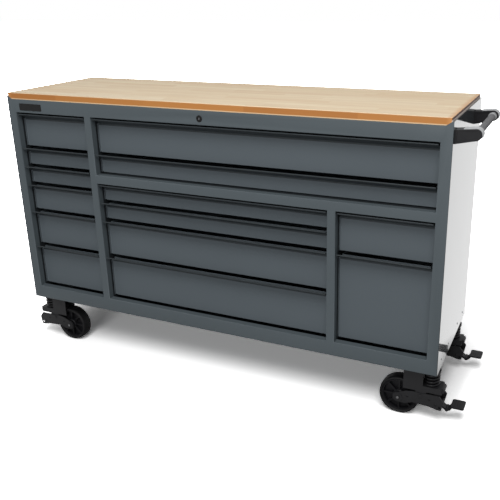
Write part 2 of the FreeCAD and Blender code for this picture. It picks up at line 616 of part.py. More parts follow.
def build_swing_arm(name):
    """Two cheeks on one axle and one pivot pin; a bridge, post and cap press the spring down."""
    owner = new_body(f"{name}_swing_arm")
    wheel = ("-wheel_trail", "wheel_radius")
    pivot = ("pivot_place", "pivot_level")
    cheek = [("-wheel_trail", "wheel_radius - arm_boss_radius"),
             ("-wheel_trail / 2", "arm_belly - arm_belly_dip"), ("0", "arm_belly + arm_belly_rise"),
             ("spring_place", "arm_belly"), ("pedal_place - tail_inner", "tail_low"),
             ("pedal_place + tail_outer", "tail_low"), ("tail_place", "tail_level"),
             ("pedal_place - tail_shoulder", "arm_top"), ("spring_place", "arm_top"),
             ("pivot_place", "arm_top - arm_top_dip"), ("0", "arm_top"),
             ("-wheel_trail / 2", "arm_top - arm_top_slope"),
             ("-wheel_trail", "wheel_radius + arm_boss_radius")]
    add(owner, "XZ", [cheek], "-arm_outer", "arm_outer")
    ends = [(size("pedal_place") - size("tail_inner"), size("tail_low")),
            (size("pedal_place") + size("tail_outer"), size("tail_low"))]
    round_edges(owner, "pedal_pin_radius", lambda at, along: near(at, ends))
    add(owner, "XZ", [circle(*wheel, "arm_boss_radius")], "-arm_outer", "arm_outer")
    space = rectangle("-wheel_trail - 2 * arm_boss_radius", "tail_place + arm_boss_radius",
                      "0", "arm_top + arm_boss_radius")
    cut(owner, "XZ", [space], "-arm_inner", "arm_inner")
    bosses = circle(*wheel, "arm_boss_radius - arm_boss_height")
    heads = [circle(*wheel, "bolt_head_radius"), circle(*pivot, "bolt_head_radius")]
    for low, high in (("-arm_outer - arm_boss_height", "-arm_outer"),
                      ("arm_outer", "arm_outer + arm_boss_height")):
        add(owner, "XZ", [bosses], low, high)
    add(owner, "XZ", [heads[1]], "-arm_outer - arm_boss_height", "-arm_outer")
    add(owner, "XZ", [heads[1]], "arm_outer", "arm_outer + arm_boss_height")
    add(owner, "XZ", [heads[0]], "-arm_outer - 2 * arm_boss_height", "-arm_outer - arm_boss_height")
    add(owner, "XZ", [heads[0]], "arm_outer + arm_boss_height", "arm_outer + 2 * arm_boss_height")
    add(owner, "XZ", [circle(*wheel, "axle_radius"), circle(*pivot, "pivot_radius")],
        "-arm_inner", "arm_inner")
    for low, high in (("-arm_inner", "-wheel_width / 2 - seat_gap"),
                      ("wheel_width / 2 + seat_gap", "arm_inner")):
        add(owner, "XZ", [circle(*wheel, "spacer_radius")], low, high)
    deck = "pivot_level - bridge_sheet"
    bridge = rectangle("spring_place - bridge_half", "spring_place + bridge_half", deck, "pivot_level")
    add(owner, "XZ", [bridge], "-arm_inner", "arm_inner")
    add(owner, "XY", [circle("spring_place", "0", "post_radius")], "pivot_level", "cap_top")
    add(owner, "XY", [circle("spring_place", "0", "cap_radius")], "cap_under - cap_skirt", "cap_top")
    cut(owner, "XY", [circle("spring_place", "0", "cap_radius - panel_sheet"),
                      circle("spring_place", "0", "post_radius")], "cap_under - cap_skirt", "cap_under")
    cut(owner, "XZ", [circle("pedal_place", "pedal_level", "pedal_pin_radius + fit_gap")],
        "-arm_outer", "arm_outer")
    return owner


def build_wheel(name):
    """Wheel turned about its axle: tread, rim, thin web and hub, with ribs between rim and hub."""
    owner = new_body(f"{name}_wheel")
    edge = "wheel_width / 2"
    middle = "web_thickness / 2"
    bore = "axle_radius + fit_gap"
    half_outline = [("hub_width / 2", bore), ("hub_width / 2", "hub_radius - hub_chamfer"),
                    (middle, "hub_radius + hub_flare"), (middle, "web_radius"),
                    (f"{edge} - tread_shoulder", "rim_radius"),
                    (edge, "rim_radius + 2 * tread_shoulder"), (edge, "wheel_radius - tread_shoulder"),
                    (f"{edge} - tread_shoulder", "wheel_radius")]
    mirrored = [(f"-({across})", up) for across, up in reversed(half_outline)]
    profile = draw(owner, "YZ", "-wheel_trail", [half_outline + mirrored], ("0", "wheel_radius"))
    turned = owner.newObject("PartDesign::Revolution", f"{name}_wheel_turned")
    turned.Profile = profile
    turned.ReferenceAxis = (profile, ["H_Axis"])
    turned.Angle = 360
    rib = rectangle("-spoke_width / 2", "spoke_width / 2", "hub_radius - spoke_root", "rim_radius")
    spoke = add(owner, "XZ", [rib], "-spoke_depth / 2", "spoke_depth / 2", ("-wheel_trail", "wheel_radius"))
    doc.recompute()
    spokes = owner.newObject("PartDesign::PolarPattern", f"{name}_wheel_spokes")
    spokes.Originals = [spoke]
    spokes.Axis = (spoke.Profile[0], ["N_Axis"])
    spokes.Angle = 360
    spokes.setExpression("Occurrences", formula("spoke_count"))
    owner.Tip = spokes
    return owner


def build_brake_pedal(name):
    """Foot pedal: hub on its pin between the arm's cheeks, neck, and a grooved pad."""
    owner = new_body(f"{name}_brake_pedal")
    pin = ("pedal_place", "pedal_level")
    pad_low = "pedal_top - pedal_sheet"
    pad = rectangle("pedal_start", "pedal_end", "-pedal_width / 2", "pedal_width / 2")
    add(owner, "XY", [pad], pad_low, "pedal_top")
    corner = size("pedal_width") / 2
    round_edges(owner, "pedal_corner",
                lambda at, along: abs(along.z) > 1 - TOLERANCE and abs(abs(at.y) - corner) < TOLERANCE)
    grooves = []
    for number in range(int(size("groove_count"))):
        middle = f"({number} - (groove_count - 1) / 2) * groove_pitch"
        grooves.append(rectangle(f"{middle} - groove_width / 2", f"{middle} + groove_width / 2",
                                 "pedal_top - groove_depth", "pedal_top"))
    cut(owner, "YZ", grooves, "pedal_start + pedal_corner", "pedal_end - pedal_corner / 2")
    neck = [("pedal_place", "pedal_level - pedal_hub_radius / 2"), ("pedal_start", pad_low),
            ("pedal_start + pedal_corner", pad_low),
            ("pedal_start + pedal_corner", "pedal_top - groove_depth"),
            ("pedal_start - pedal_corner", "pedal_top"),
            ("pedal_place", "pedal_level + pedal_hub_radius / 2")]
    add(owner, "XZ", [neck], "-neck_width / 2", "neck_width / 2")
    add(owner, "XZ", [circle(*pin, "pedal_hub_radius")], "-fork_inner", "fork_inner")
    add(owner, "XZ", [circle(*pin, "pedal_pin_radius")], "-arm_outer", "arm_outer")
    return owner


def build_spring(name):
    """Compression spring between the yoke's shelf and the cap, wound as one unbroken tube."""
    radius = size("spring_radius")
    wire = size("spring_wire")
    turns = int(size("spring_turns"))
    foot = size("shelf_level")
    top = size("cap_under")
    bend = size("spring_bend")
    place_u = size("spring_place")
    helix_height = top - foot - 2 * (wire + bend)
    slope = math.atan2(helix_height, turns * 2 * math.pi * radius)
    run = bend * (1 - math.sin(slope))
    start_level = foot + wire + bend * math.cos(slope)
    end_level = top - wire - bend * math.cos(slope)
    quarters = 4 * turns
    rise = (end_level - start_level) / quarters

    def helix_point(step):
        angle = step * math.pi / 2
        return FreeCAD.Vector(place_u + radius * math.cos(angle), radius * math.sin(angle),
                              start_level + rise * step)

    def helix_tangent(step):
        angle = step * math.pi / 2
        flat = radius * math.pi / 2
        return FreeCAD.Vector(-flat * math.sin(angle), flat * math.cos(angle), rise).normalize()

    edges = []
    for step in range(quarters):
        edges += biarc(helix_point(step), helix_tangent(step), helix_point(step + 1), helix_tangent(step + 1))
    upright = FreeCAD.Vector(0, 0, 1)
    first = helix_point(0)
    foot_flat = FreeCAD.Vector(helix_tangent(0).x, helix_tangent(0).y, 0).normalize()
    foot_bend = first - foot_flat * run - upright * (bend * math.cos(slope))
    last = helix_point(quarters)
    head_flat = FreeCAD.Vector(helix_tangent(quarters).x, helix_tangent(quarters).y, 0).normalize()
    head_bend = last + head_flat * run + upright * (bend * math.cos(slope))
    turn = (math.pi / 2 - slope) / 2
    foot_middle = foot_bend + foot_flat * (bend * (1 - math.cos(turn))) + upright * (bend * math.sin(turn))
    head_middle = head_bend - head_flat * (bend * (1 - math.cos(turn))) - upright * (bend * math.sin(turn))
    foot_end = FreeCAD.Vector(foot_bend.x, foot_bend.y, foot)
    head_end = FreeCAD.Vector(head_bend.x, head_bend.y, top)
    wire_edges = [Part.LineSegment(foot_end, foot_bend).toShape(),
                  Part.Arc(foot_bend, foot_middle, first).toShape()]
    wire_edges += edges
    wire_edges += [Part.Arc(last, head_middle, head_bend).toShape(),
                   Part.LineSegment(head_bend, head_end).toShape()]
    path = Part.Wire(wire_edges)
    section = Part.Wire([Part.Circle(foot_end, upright, wire / 2).toShape()])
    tube = path.makePipeShell([section], True, False)
    report_spring(name, path, tube, wire)
    node = doc.addObject("Part::Feature", f"{name}_spring")
    node.Label = f"{name}_spring"
    node.Shape = tube
    return node


def biarc(start, start_way, end, end_way):
    """Two tangent arcs from one point and direction to another, of equal tangent lengths."""
    chord = end - start
    ways = start_way + end_way
    square = 2 * (1 - start_way.dot(end_way))
    along = chord.dot(ways)
    reach = (-along + math.sqrt(along * along + square * chord.dot(chord))) / square
    knot = (start + start_way * reach + end - end_way * reach) * 0.5
    return [tangent_arc(start, start_way, knot), tangent_arc(end, end_way * -1, knot)]


def tangent_arc(start, way, end):
    """Arc from a point along a direction to an end point."""
    chord = end - start
    square = way * chord.dot(way)
    side = chord - square
    angle = math.atan2(side.Length, chord.dot(way))
    inner = side.normalize()
    radius = chord.Length / (2 * math.sin(angle))
    middle = start + inner * (radius * (1 - math.cos(angle))) + way * (radius * math.sin(angle))
    return Part.Arc(start, middle, end).toShape()


def report_spring(name, path, tube, wire):
    """Print the spring's length and least gap, measured on points along its centre line."""
    points = path.discretize(400)
    step = path.Length / (len(points) - 1)
    apart = int(math.ceil(4 * wire / step))
    gap = min((points[i] - points[j]).Length for i in range(len(points))
              for j in range(i + apart, len(points))) - wire
    exact = math.pi * (wire / 2) ** 2 * path.Length
    print(f"{name}_spring: length {path.Length:.1f}, least gap {gap:.2f}, volume {tube.Volume / exact:.4f}")


def build_casters():
    """Every caster: fork, sprung arm, spring and wheel, and a brake pedal on the right ones."""
    for name, (across, back, turned) in CASTERS.items():
        parts = [build_yoke(name), build_swing_arm(name), build_wheel(name), build_spring(name)]
        if name in BRAKED:
            parts.append(build_brake_pedal(name))
        for part in parts:
            place(part, f"({across})", f"({back})", turned)


# Build, check and write

def build_all():
    """Make every sub-part of the cabinet."""
    build_front_frame()
    build_side_panel("left_side_panel", "-1")
    build_side_panel("right_side_panel", "1")
    build_back_panel()
    build_bottom_pan()
    build_base_channels()
    build_top_tray()
    build_inner_frame()
    build_worktop()
    build_slide_rails()
    for drawer in drawers():
        build_drawer_front(*drawer)
        build_drawer_tray(*drawer)
    build_lock_barrel()
    build_handle_arms()
    build_handle_grip()
    build_mount_plates()
    build_casters()
    doc.recompute()


build_all()
failed = [thing.Label for thing in doc.Objects if {"Invalid", "Error"} & set(thing.State)]
if failed:
    raise RuntimeError(f"failed objects: {failed}")
for label, node in NODES.items():
    if node.Shape.isNull() or not node.Shape.isValid() or not node.Shape.Solids:
        raise RuntimeError(f"bad shape: {label}")

os.makedirs("parts", exist_ok=True)
for label, node in NODES.items():
    node.Shape.exportStep(f"parts/{label}.step")
box = Part.makeCompound([node.Shape for node in NODES.values()]).BoundBox
print(f"{len(NODES)} nodes, {sum(len(node.Shape.Solids) for node in NODES.values())} solids")
for axis in "XYZ":
    print(f"{axis} {getattr(box, axis + 'Min'):.2f} to {getattr(box, axis + 'Max'):.2f}")
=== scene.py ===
# %% [markdown]
# # A rolling tool cabinet
# A wide steel chest of drawers stands on four sprung casters, under a glued wooden top.
# The solid model already holds every piece at its real size. This lesson dresses it: first the
# studio, then the finishes, then the pieces whose look needs more than the plain solid.

# %% Load the frame
import math

import bmesh
import bpy
from mathutils import Matrix, Vector


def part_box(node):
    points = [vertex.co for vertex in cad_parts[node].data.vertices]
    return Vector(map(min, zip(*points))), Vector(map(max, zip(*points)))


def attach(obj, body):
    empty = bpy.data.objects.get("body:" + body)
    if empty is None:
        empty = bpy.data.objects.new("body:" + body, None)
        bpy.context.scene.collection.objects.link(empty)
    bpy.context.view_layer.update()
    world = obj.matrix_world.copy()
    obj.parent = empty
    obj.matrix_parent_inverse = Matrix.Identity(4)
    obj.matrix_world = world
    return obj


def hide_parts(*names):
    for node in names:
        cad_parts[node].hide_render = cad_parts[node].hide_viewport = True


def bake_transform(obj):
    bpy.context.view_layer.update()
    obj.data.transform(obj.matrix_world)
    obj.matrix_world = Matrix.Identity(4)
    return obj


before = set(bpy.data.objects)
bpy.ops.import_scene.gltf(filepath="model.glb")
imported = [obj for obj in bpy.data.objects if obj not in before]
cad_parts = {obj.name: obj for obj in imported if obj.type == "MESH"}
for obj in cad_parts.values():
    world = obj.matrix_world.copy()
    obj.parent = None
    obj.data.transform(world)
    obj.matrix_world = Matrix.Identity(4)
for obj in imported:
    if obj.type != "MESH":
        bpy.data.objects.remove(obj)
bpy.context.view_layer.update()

# %% [markdown]
# ## The camera
# The photograph was taken from the cabinet's right and a little above, from about three metres.
# A camera's place can be guessed by eye, but lines that should be straight and parallel say it
# exactly: the frame's edges were fitted, and gave the numbers below. They are measured from the
# front frame's lower left corner, so the camera follows the cabinet if its frame moves.

# %% Camera
CAMERA_FROM_CORNER = Vector((2.2119, -2.1591, 1.3014))
CAMERA_AZIMUTH = math.radians(24.317)
CAMERA_ELEVATION = math.radians(19.652)
CAMERA_ROLL = math.radians(-0.945)
FOCAL_PIXELS = 688.94
CENTRE_PIXEL = Vector((281.56, 235.06))
IMAGE_PIXELS = 500
SENSOR = 0.036
VIEW_REACH = 100

frame_low, frame_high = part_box("front_frame")
camera_data = bpy.data.cameras.new("camera")
camera_data.sensor_width = SENSOR * 1000
camera_data.lens = FOCAL_PIXELS / IMAGE_PIXELS * SENSOR * 1000
camera_data.shift_x = (IMAGE_PIXELS / 2 - CENTRE_PIXEL.x) / IMAGE_PIXELS
camera_data.shift_y = (CENTRE_PIXEL.y - IMAGE_PIXELS / 2) / IMAGE_PIXELS
camera_data.clip_end = VIEW_REACH
camera = bpy.data.objects.new("camera", camera_data)
bpy.context.scene.collection.objects.link(camera)
bpy.context.scene.camera = camera
turn = Matrix.Rotation(CAMERA_AZIMUTH, 4, "Z")
tilt = Matrix.Rotation(math.pi / 2 - CAMERA_ELEVATION, 4, "X")
roll = Matrix.Rotation(CAMERA_ROLL, 4, "Z")
camera.matrix_world = Matrix.Translation(frame_low + CAMERA_FROM_CORNER) @ turn @ tilt @ roll
print("lens", round(camera_data.lens, 1), "camera at",
      [round(v, 3) for v in camera.matrix_world.translation])

# %% [markdown]
# ## Small tools for materials
# Every finish below is a handful of nodes on Object coordinates, which stay with the surface from
# every side. These helpers make a node in one line and link or set its sockets by name, so that a
# material reads like a recipe: a noise, a mix of two colours, a fine relief.

# %% Objects, materials and nodes
def link(name, mesh):
    """New object at the origin holding a mesh whose vertices are already in place."""
    thing = bpy.data.objects.new(name, mesh)
    bpy.context.scene.collection.objects.link(thing)
    return thing


def new_material(name):
    """Material with its node tree and its shader, ready for nodes to be added."""
    material = bpy.data.materials.new(name)
    material.use_nodes = True
    return material, material.node_tree, material.node_tree.nodes["Principled BSDF"]


def add_node(tree, kind, settings=(), **sockets):
    """Node of a kind, with attributes from settings and a value or a link for each named socket."""
    node = tree.nodes.new(kind)
    for name, value in dict(settings).items():
        setattr(node, name, value)
    for name, value in sockets.items():
        numbered = name[0] == "i" and name[1:].isdigit()
        socket = node.inputs[int(name[1:])] if numbered else node.inputs[name.replace("_", " ")]
        if isinstance(value, bpy.types.NodeSocket):
            tree.links.new(value, socket)
        else:
            socket.default_value = value
    return node


def set_inputs(node, **values):
    """Plain values on a node's own sockets."""
    for name, value in values.items():
        node.inputs[name.replace("_", " ")].default_value = value


print("object and node helpers ready")

# %% Steps on numbers and colours
def math_node(tree, operation, *values):
    """One arithmetic step on numbers."""
    numbered = {f"i{number}": value for number, value in enumerate(values)}
    return add_node(tree, "ShaderNodeMath", {"operation": operation}, **numbered).outputs[0]


def map_range(tree, value, low, high, to_low=0.0, to_high=1.0):
    """Rescale a value and clamp it."""
    node = add_node(tree, "ShaderNodeMapRange", Value=value, From_Min=low, From_Max=high,
                    To_Min=to_low, To_Max=to_high)
    return node.outputs["Result"]


def object_coordinates(tree):
    """Place of the shaded point in the cabinet's own frame, in metres."""
    return add_node(tree, "ShaderNodeTexCoord").outputs["Object"]


def noise(tree, place, scale, detail=2.0, roughness=0.5):
    """Grey noise on a place."""
    node = add_node(tree, "ShaderNodeTexNoise", Vector=place, Scale=scale, Detail=detail,
                    Roughness=roughness)
    return node.outputs["Fac"]


def varied(tree, pattern, low, high):
    """Value that a noise moves between two limits. Most of a noise lies between 0.3 and 0.7."""
    return map_range(tree, pattern, 0.3, 0.7, low, high)


def blend_colours(tree, factor, first, second):
    """Mix of two colours by a factor."""
    mix = {"data_type": "RGBA", "blend_type": "MIX"}
    return add_node(tree, "ShaderNodeMix", mix, i0=factor, i6=first, i7=second).outputs[2]


def toned(colour, share):
    """Colour made lighter or darker by a share."""
    return tuple(channel * share for channel in colour) + (1,)


def bump(tree, shader, height, strength, distance):
    """Fine relief on a shader."""
    node = add_node(tree, "ShaderNodeBump", Height=height, Strength=strength, Distance=distance)
    tree.links.new(node.outputs["Normal"], shader.inputs["Normal"])


print("number and colour helpers ready")

# %% [markdown]
# ## White paper
# Product photographs of this kind are taken on white paper, which has to clear to pure white in
# front of the cabinet while its shadow stays underneath. More light would burn out the cabinet too,
# so instead the paper's own tone is raised where the camera looks at it, and more so with distance
# from the cabinet. Where gloss mirrors the paper, it's plain white, but for the shade underneath.

# %% Distance from the cabinet
HALF_LENGTH = 0.915
HALF_DEPTH = 0.275
END_CLEARING = 3.5


def away_from_cabinet(tree):
    """Distance of the floor from the cabinet's plan, counted more past its two ends."""
    axes = add_node(tree, "ShaderNodeSeparateXYZ", Vector=object_coordinates(tree)).outputs
    beyond = []
    for axis, half in ((0, HALF_LENGTH), (1, HALF_DEPTH)):
        outside = math_node(tree, "SUBTRACT", math_node(tree, "ABSOLUTE", axes[axis]), half)
        beyond.append(math_node(tree, "MAXIMUM", outside, 0.0))
    past_end = math_node(tree, "MULTIPLY", beyond[0], END_CLEARING)
    squares = [math_node(tree, "POWER", reach, 2.0) for reach in (past_end, beyond[1])]
    return math_node(tree, "SQRT", math_node(tree, "ADD", *squares))


def mirror_rays(tree, rays):
    """One where gloss or glass looks at the surface."""
    return math_node(tree, "MAXIMUM", rays["Is Glossy Ray"], rays["Is Transmission Ray"])


print("paper clears", END_CLEARING, "times faster past the ends")

# %% Paper floor
FLOOR_REACH = 30.0
WHITE = (1, 1, 1, 1)
PAPER = 0.30
PAPER_NEAR = 1.8
PAPER_FAR = 3.0
CLEARING = 0.6
LIFT_PER_METRE = 0.5
MIRROR_SHADE = 0.2
MIRROR_CLEARING = 0.25

corners = [(side * FLOOR_REACH, end * FLOOR_REACH, 0)
           for side, end in ((-1, -1), (1, -1), (1, 1), (-1, 1))]
floor_mesh = bpy.data.meshes.new("floor")
floor_mesh.from_pydata(corners, [], [(0, 1, 2, 3)])
floor = link("floor", floor_mesh)

paper, paper_tree, paper_shader = new_material("white_paper")
set_inputs(paper_shader, Roughness=0.9, Specular_IOR_Level=0.0)
away = away_from_cabinet(paper_tree)
near_tone = map_range(paper_tree, away, 0.0, CLEARING, PAPER_NEAR, PAPER_FAR)
lift = math_node(paper_tree, "MULTIPLY_ADD", away, LIFT_PER_METRE, 1.0)
seen_tone = math_node(paper_tree, "MULTIPLY", near_tone, lift)
paper_rays = add_node(paper_tree, "ShaderNodeLightPath").outputs
tone = add_node(paper_tree, "ShaderNodeMix", i0=paper_rays["Is Camera Ray"], i2=PAPER, i3=seen_tone)
paper_tree.links.new(tone.outputs[0], paper_shader.inputs["Base Color"])
mirror_white = map_range(paper_tree, away, 0.0, MIRROR_CLEARING, MIRROR_SHADE, 1.0)
mirrored = add_node(paper_tree, "ShaderNodeEmission", Color=WHITE, Strength=mirror_white)
surface = add_node(paper_tree, "ShaderNodeMixShader", i0=mirror_rays(paper_tree, paper_rays),
                   i1=paper_shader.outputs[0], i2=mirrored.outputs[0])
paper_tree.links.new(surface.outputs[0], paper_tree.nodes["Material Output"].inputs["Surface"])
floor.data.materials.append(paper)
print("paper reaches", FLOOR_REACH, "m")

# %% [markdown]
# ## Light
# Two large soft lamps light the cabinet. One hangs overhead, in front and to the right, for the
# wood and the floor. The other stands far in front and low, so that no pull throws a long shade on
# the face below it. The sky is dim as a light and white to look at, for the same reason as the
# paper.

# %% World and lamps
SKY_LIGHT = 0.22
SOFT_LAMPS = {"overhead_softbox": ((1.1, -2.7, 4.2), 2.2, 128),
              "front_softbox": ((0.4, -5.0, 1.6), 2.0, 80)}

world = bpy.data.worlds.new("studio")
bpy.context.scene.world = world
world.use_nodes = True
sky_tree = world.node_tree
sky_rays = add_node(sky_tree, "ShaderNodeLightPath").outputs
shown = math_node(sky_tree, "MAXIMUM", sky_rays["Is Camera Ray"], mirror_rays(sky_tree, sky_rays))
sky = sky_tree.nodes["Background"]
set_inputs(sky, Color=WHITE)
sky_tree.links.new(map_range(sky_tree, shown, 0.0, 1.0, SKY_LIGHT, 1.0), sky.inputs["Strength"])


def soft_lamp(name, place, target, side, power):
    """Square area lamp that faces a target."""
    data = bpy.data.lights.new(name, "AREA")
    data.size = side
    data.energy = power
    lamp = bpy.data.objects.new(name, data)
    bpy.context.scene.collection.objects.link(lamp)
    lamp.location = place
    lamp.rotation_euler = (Vector(target) - Vector(place)).to_track_quat("-Z", "Y").to_euler()


for lamp_name, (lamp_place, lamp_side, lamp_watts) in SOFT_LAMPS.items():
    soft_lamp(lamp_name, lamp_place, (frame_low + frame_high) / 2, lamp_side, lamp_watts)
bpy.context.scene.view_settings.view_transform = "Standard"
print("lamps", len(bpy.data.lights))

# %% [markdown]
# ## Powder-coated steel
# The shell and the drawers are sprayed with grey powder, which melts to a satin skin with a slight
# orange peel. A noise of about two millimetres gives the peel as bump, and a slow noise shifts the
# grey by a few percent. Only the side and back panels are glossy: seen at a low angle, as the
# photograph sees the right side, such a coat mirrors the white paper and looks almost white, with
# the rear pedal's image in it. The pulls are painted darker than the faces, as painted shade, and
# the posts behind the gaps nearly black, as painted shade in the gaps.

# %% Paint
FRAME_GREY = (0.084, 0.101, 0.111)
DRAWER_GREY = (0.098, 0.116, 0.129)
# The pull's grey is much darker than the face's: painted shade under the pull.
PULL_SHADE_GREY = (0.030, 0.036, 0.040)
# Near black inner posts: painted shade, so that the gaps between frame and fronts look dark.
INNER_SHADE_GREY = (0.016, 0.019, 0.021)
SIDE_GREY = (0.080, 0.098, 0.108)
COAT_IOR = 1.8


def paint(name, colour, roughness, gloss, coat=0.0, coat_roughness=0.12):
    """Grey powder coat on sheet steel."""
    material, tree, shader = new_material(name)
    place = object_coordinates(tree)
    cloud = noise(tree, place, scale=2.3, detail=3.0)
    shade = blend_colours(tree, cloud, toned(colour, 0.93), toned(colour, 1.06))
    tree.links.new(shade, shader.inputs["Base Color"])
    smear = noise(tree, place, scale=14.0, detail=4.0)
    sheen = varied(tree, smear, roughness * 0.9, roughness * 1.15)
    tree.links.new(sheen, shader.inputs["Roughness"])
    set_inputs(shader, Specular_IOR_Level=gloss, Coat_Weight=coat, Coat_Roughness=coat_roughness,
               Coat_IOR=COAT_IOR)
    peel = noise(tree, place, scale=480.0, detail=1.0)
    bump(tree, shader, peel, strength=0.12, distance=0.0002)
    return material


frame_paint = paint("frame_paint", FRAME_GREY, roughness=0.45, gloss=0.15)
drawer_paint = paint("drawer_paint", DRAWER_GREY, roughness=0.5, gloss=0.10)
pull_paint = paint("pull_paint", PULL_SHADE_GREY, roughness=0.4, gloss=0.15)
# Painted shade: the inner posts are near black.
inner_shade_paint = paint("inner_shade_paint", INNER_SHADE_GREY, roughness=0.6, gloss=0.15)
side_paint = paint("side_paint", SIDE_GREY, roughness=0.12, gloss=0.5, coat=1.0,
                   coat_roughness=0.03)
print("paints", [material.name for material in bpy.data.materials if "paint" in material.name])

# %% [markdown]
# ## Glued hardwood
# The top is made of short staves glued side by side, each with its own tint. Dividing the place by
# the stave's width and length, and rounding down, gives every stave a number; a white noise of the
# number is its tint. Stretched noise along the stave is the grain. The long edges are more orange,
# because the oil soaks deeper there, with a painted highlight along their lower edge. Towards the
# ends the wood turns orange, a painted highlight, and the end faces get a band of painted shade
# under their top edge and a pale painted highlight below it.

# %% Staves and grain
STAVE_WIDTH = 0.042
STAVE_LENGTH = 0.42
GRAIN_STRETCH = (1.2, 26.0, 26.0)
PALE_WOOD = (0.93, 0.79, 0.57, 1)
WARM_WOOD = (0.81, 0.62, 0.40, 1)
GRAIN_BROWN = (0.52, 0.31, 0.15, 1)
wood_low, wood_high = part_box("worktop")


def stave_tint(tree, along, across):
    """White noise that is the same all over one stave."""
    row = math_node(tree, "FLOOR", math_node(tree, "DIVIDE", across, STAVE_WIDTH))
    row_shift = add_node(tree, "ShaderNodeTexWhiteNoise", {"noise_dimensions": "1D"}, W=row)
    step = math_node(tree, "ADD", math_node(tree, "DIVIDE", along, STAVE_LENGTH),
                     row_shift.outputs["Value"])
    number = add_node(tree, "ShaderNodeCombineXYZ", X=row, Y=math_node(tree, "FLOOR", step))
    return add_node(tree, "ShaderNodeTexWhiteNoise", {"noise_dimensions": "2D"},
                    Vector=number.outputs[0])


def stave_grain(tree, place, tint):
    """Noise stretched along the stave, and shifted by its tint so that no two staves are alike."""
    stretched = add_node(tree, "ShaderNodeMapping", Vector=place, Scale=GRAIN_STRETCH)
    shifted = add_node(tree, "ShaderNodeVectorMath", {"operation": "ADD"}, i0=stretched.outputs[0],
                       i1=tint.outputs["Color"])
    return noise(tree, shifted.outputs[0], scale=3.0, detail=6.0, roughness=0.62)


print("staves", round((wood_high.x - wood_low.x) / STAVE_LENGTH),
      "by", round((wood_high.y - wood_low.y) / STAVE_WIDTH))

# %% Oiled edges, painted edge highlights and shade, and the finished wood
SOAKED_ORANGE = (0.55, 0.24, 0.068, 1)
SOAKED_BROWN = (0.38, 0.145, 0.038, 1)
# Painted highlight along the lower edge of the long faces.
LOWER_EDGE_HIGHLIGHT = (0.86, 0.66, 0.42, 1)
# Painted orange highlight towards the ends of the top.
END_HIGHLIGHT_ORANGE = (0.66, 0.32, 0.12, 1)
# Painted highlight on the lower end face, and a band of painted shade above it.
END_FACE_HIGHLIGHT = (0.86, 0.74, 0.66, 1)
END_FACE_SHADE = (0.085, 0.032, 0.020, 1)


def nearest_face(tree, place, low, high):
    """Distance to the nearer of two opposite faces."""
    return math_node(tree, "MINIMUM", math_node(tree, "SUBTRACT", place, low),
                     math_node(tree, "SUBTRACT", high, place))


def on_face(tree, distance, below):
    """One on a face of the top, fading within three millimetres, and nought on the upper side."""
    return math_node(tree, "MULTIPLY", map_range(tree, distance, 0.003, 0.0005), below)


def wood():
    """Block-glued hardwood top with oiled long edges, painted highlights and painted shade."""
    material, tree, shader = new_material("glued_hardwood")
    place = object_coordinates(tree)
    along, across, up = add_node(tree, "ShaderNodeSeparateXYZ", Vector=place).outputs
    tint = stave_tint(tree, along, across)
    tint_share = map_range(tree, tint.outputs["Value"], 0.0, 1.0, 0.0, 0.75)
    body = blend_colours(tree, tint_share, PALE_WOOD, WARM_WOOD)
    grain = stave_grain(tree, place, tint)
    top = blend_colours(tree, map_range(tree, grain, 0.35, 0.75, 0.0, 0.35), body, GRAIN_BROWN)
    from_end = nearest_face(tree, along, wood_low.x, wood_high.x)
    from_long = nearest_face(tree, across, wood_low.y, wood_high.y)
    below = map_range(tree, up, wood_high.z - 0.001, wood_high.z - 0.003)
    soaked = blend_colours(tree, tint.outputs["Value"], SOAKED_ORANGE, SOAKED_BROWN)
    # Painted highlight: the lowest few millimetres of the long faces turn pale.
    lower_highlight_share = map_range(tree, up, wood_low.z + 0.0045, wood_low.z + 0.0025, 0.0, 0.75)
    long_edge = blend_colours(tree, lower_highlight_share, soaked, LOWER_EDGE_HIGHLIGHT)
    edged = blend_colours(tree, on_face(tree, from_long, below), top, long_edge)
    # Painted highlight: the wood turns orange within twenty millimetres of its ends.
    end_highlight_share = map_range(tree, from_end, 0.020, 0.004, 0.0, 0.55)
    end_highlighted = blend_colours(tree, end_highlight_share, edged, END_HIGHLIGHT_ORANGE)
    # Painted shade in a band under the top edge of the end faces, painted highlight below it.
    end_shade_share = map_range(tree, up, wood_high.z - 0.0105, wood_high.z - 0.0085)
    painted_end_face = blend_colours(tree, end_shade_share, END_FACE_HIGHLIGHT, END_FACE_SHADE)
    finished = blend_colours(tree, on_face(tree, from_end, below), end_highlighted, painted_end_face)
    tree.links.new(finished, shader.inputs["Base Color"])
    set_inputs(shader, Roughness=0.55, Specular_IOR_Level=0.2)
    bump(tree, shader, grain, strength=0.25, distance=0.0004)
    return material


wood_material = wood()
print("wood nodes", len(wood_material.node_tree.nodes))

# %% [markdown]
# ## Black parts
# The casters are pressed steel with a thin black coat, the pedals and the handle's arms are moulded
# plastic, and the tyres are rubber. All are black, so what tells them apart is the sheen: the coat
# is smooth and catches light on its edges, the plastic has a grain, the rubber is dull.

# %% Black finishes
BLACK_GLOSS = 0.18
METAL_GLOSS = 0.5
ZINC = 0.9


def black(name, colour, roughness, grain_scale, grain_depth, metallic=0.0):
    """Dark finish with a fine grain and a slow change of sheen."""
    material, tree, shader = new_material(name)
    place = object_coordinates(tree)
    cloud = noise(tree, place, scale=30.0, detail=3.0)
    shade = blend_colours(tree, cloud, toned(colour, 1.0), toned(colour, 1.5))
    tree.links.new(shade, shader.inputs["Base Color"])
    sheen = varied(tree, cloud, roughness * 0.85, roughness * 1.15)
    tree.links.new(sheen, shader.inputs["Roughness"])
    gloss = METAL_GLOSS if metallic else BLACK_GLOSS
    set_inputs(shader, Metallic=metallic, Specular_IOR_Level=gloss)
    bump(tree, shader, noise(tree, place, grain_scale), strength=0.2, distance=grain_depth)
    return material


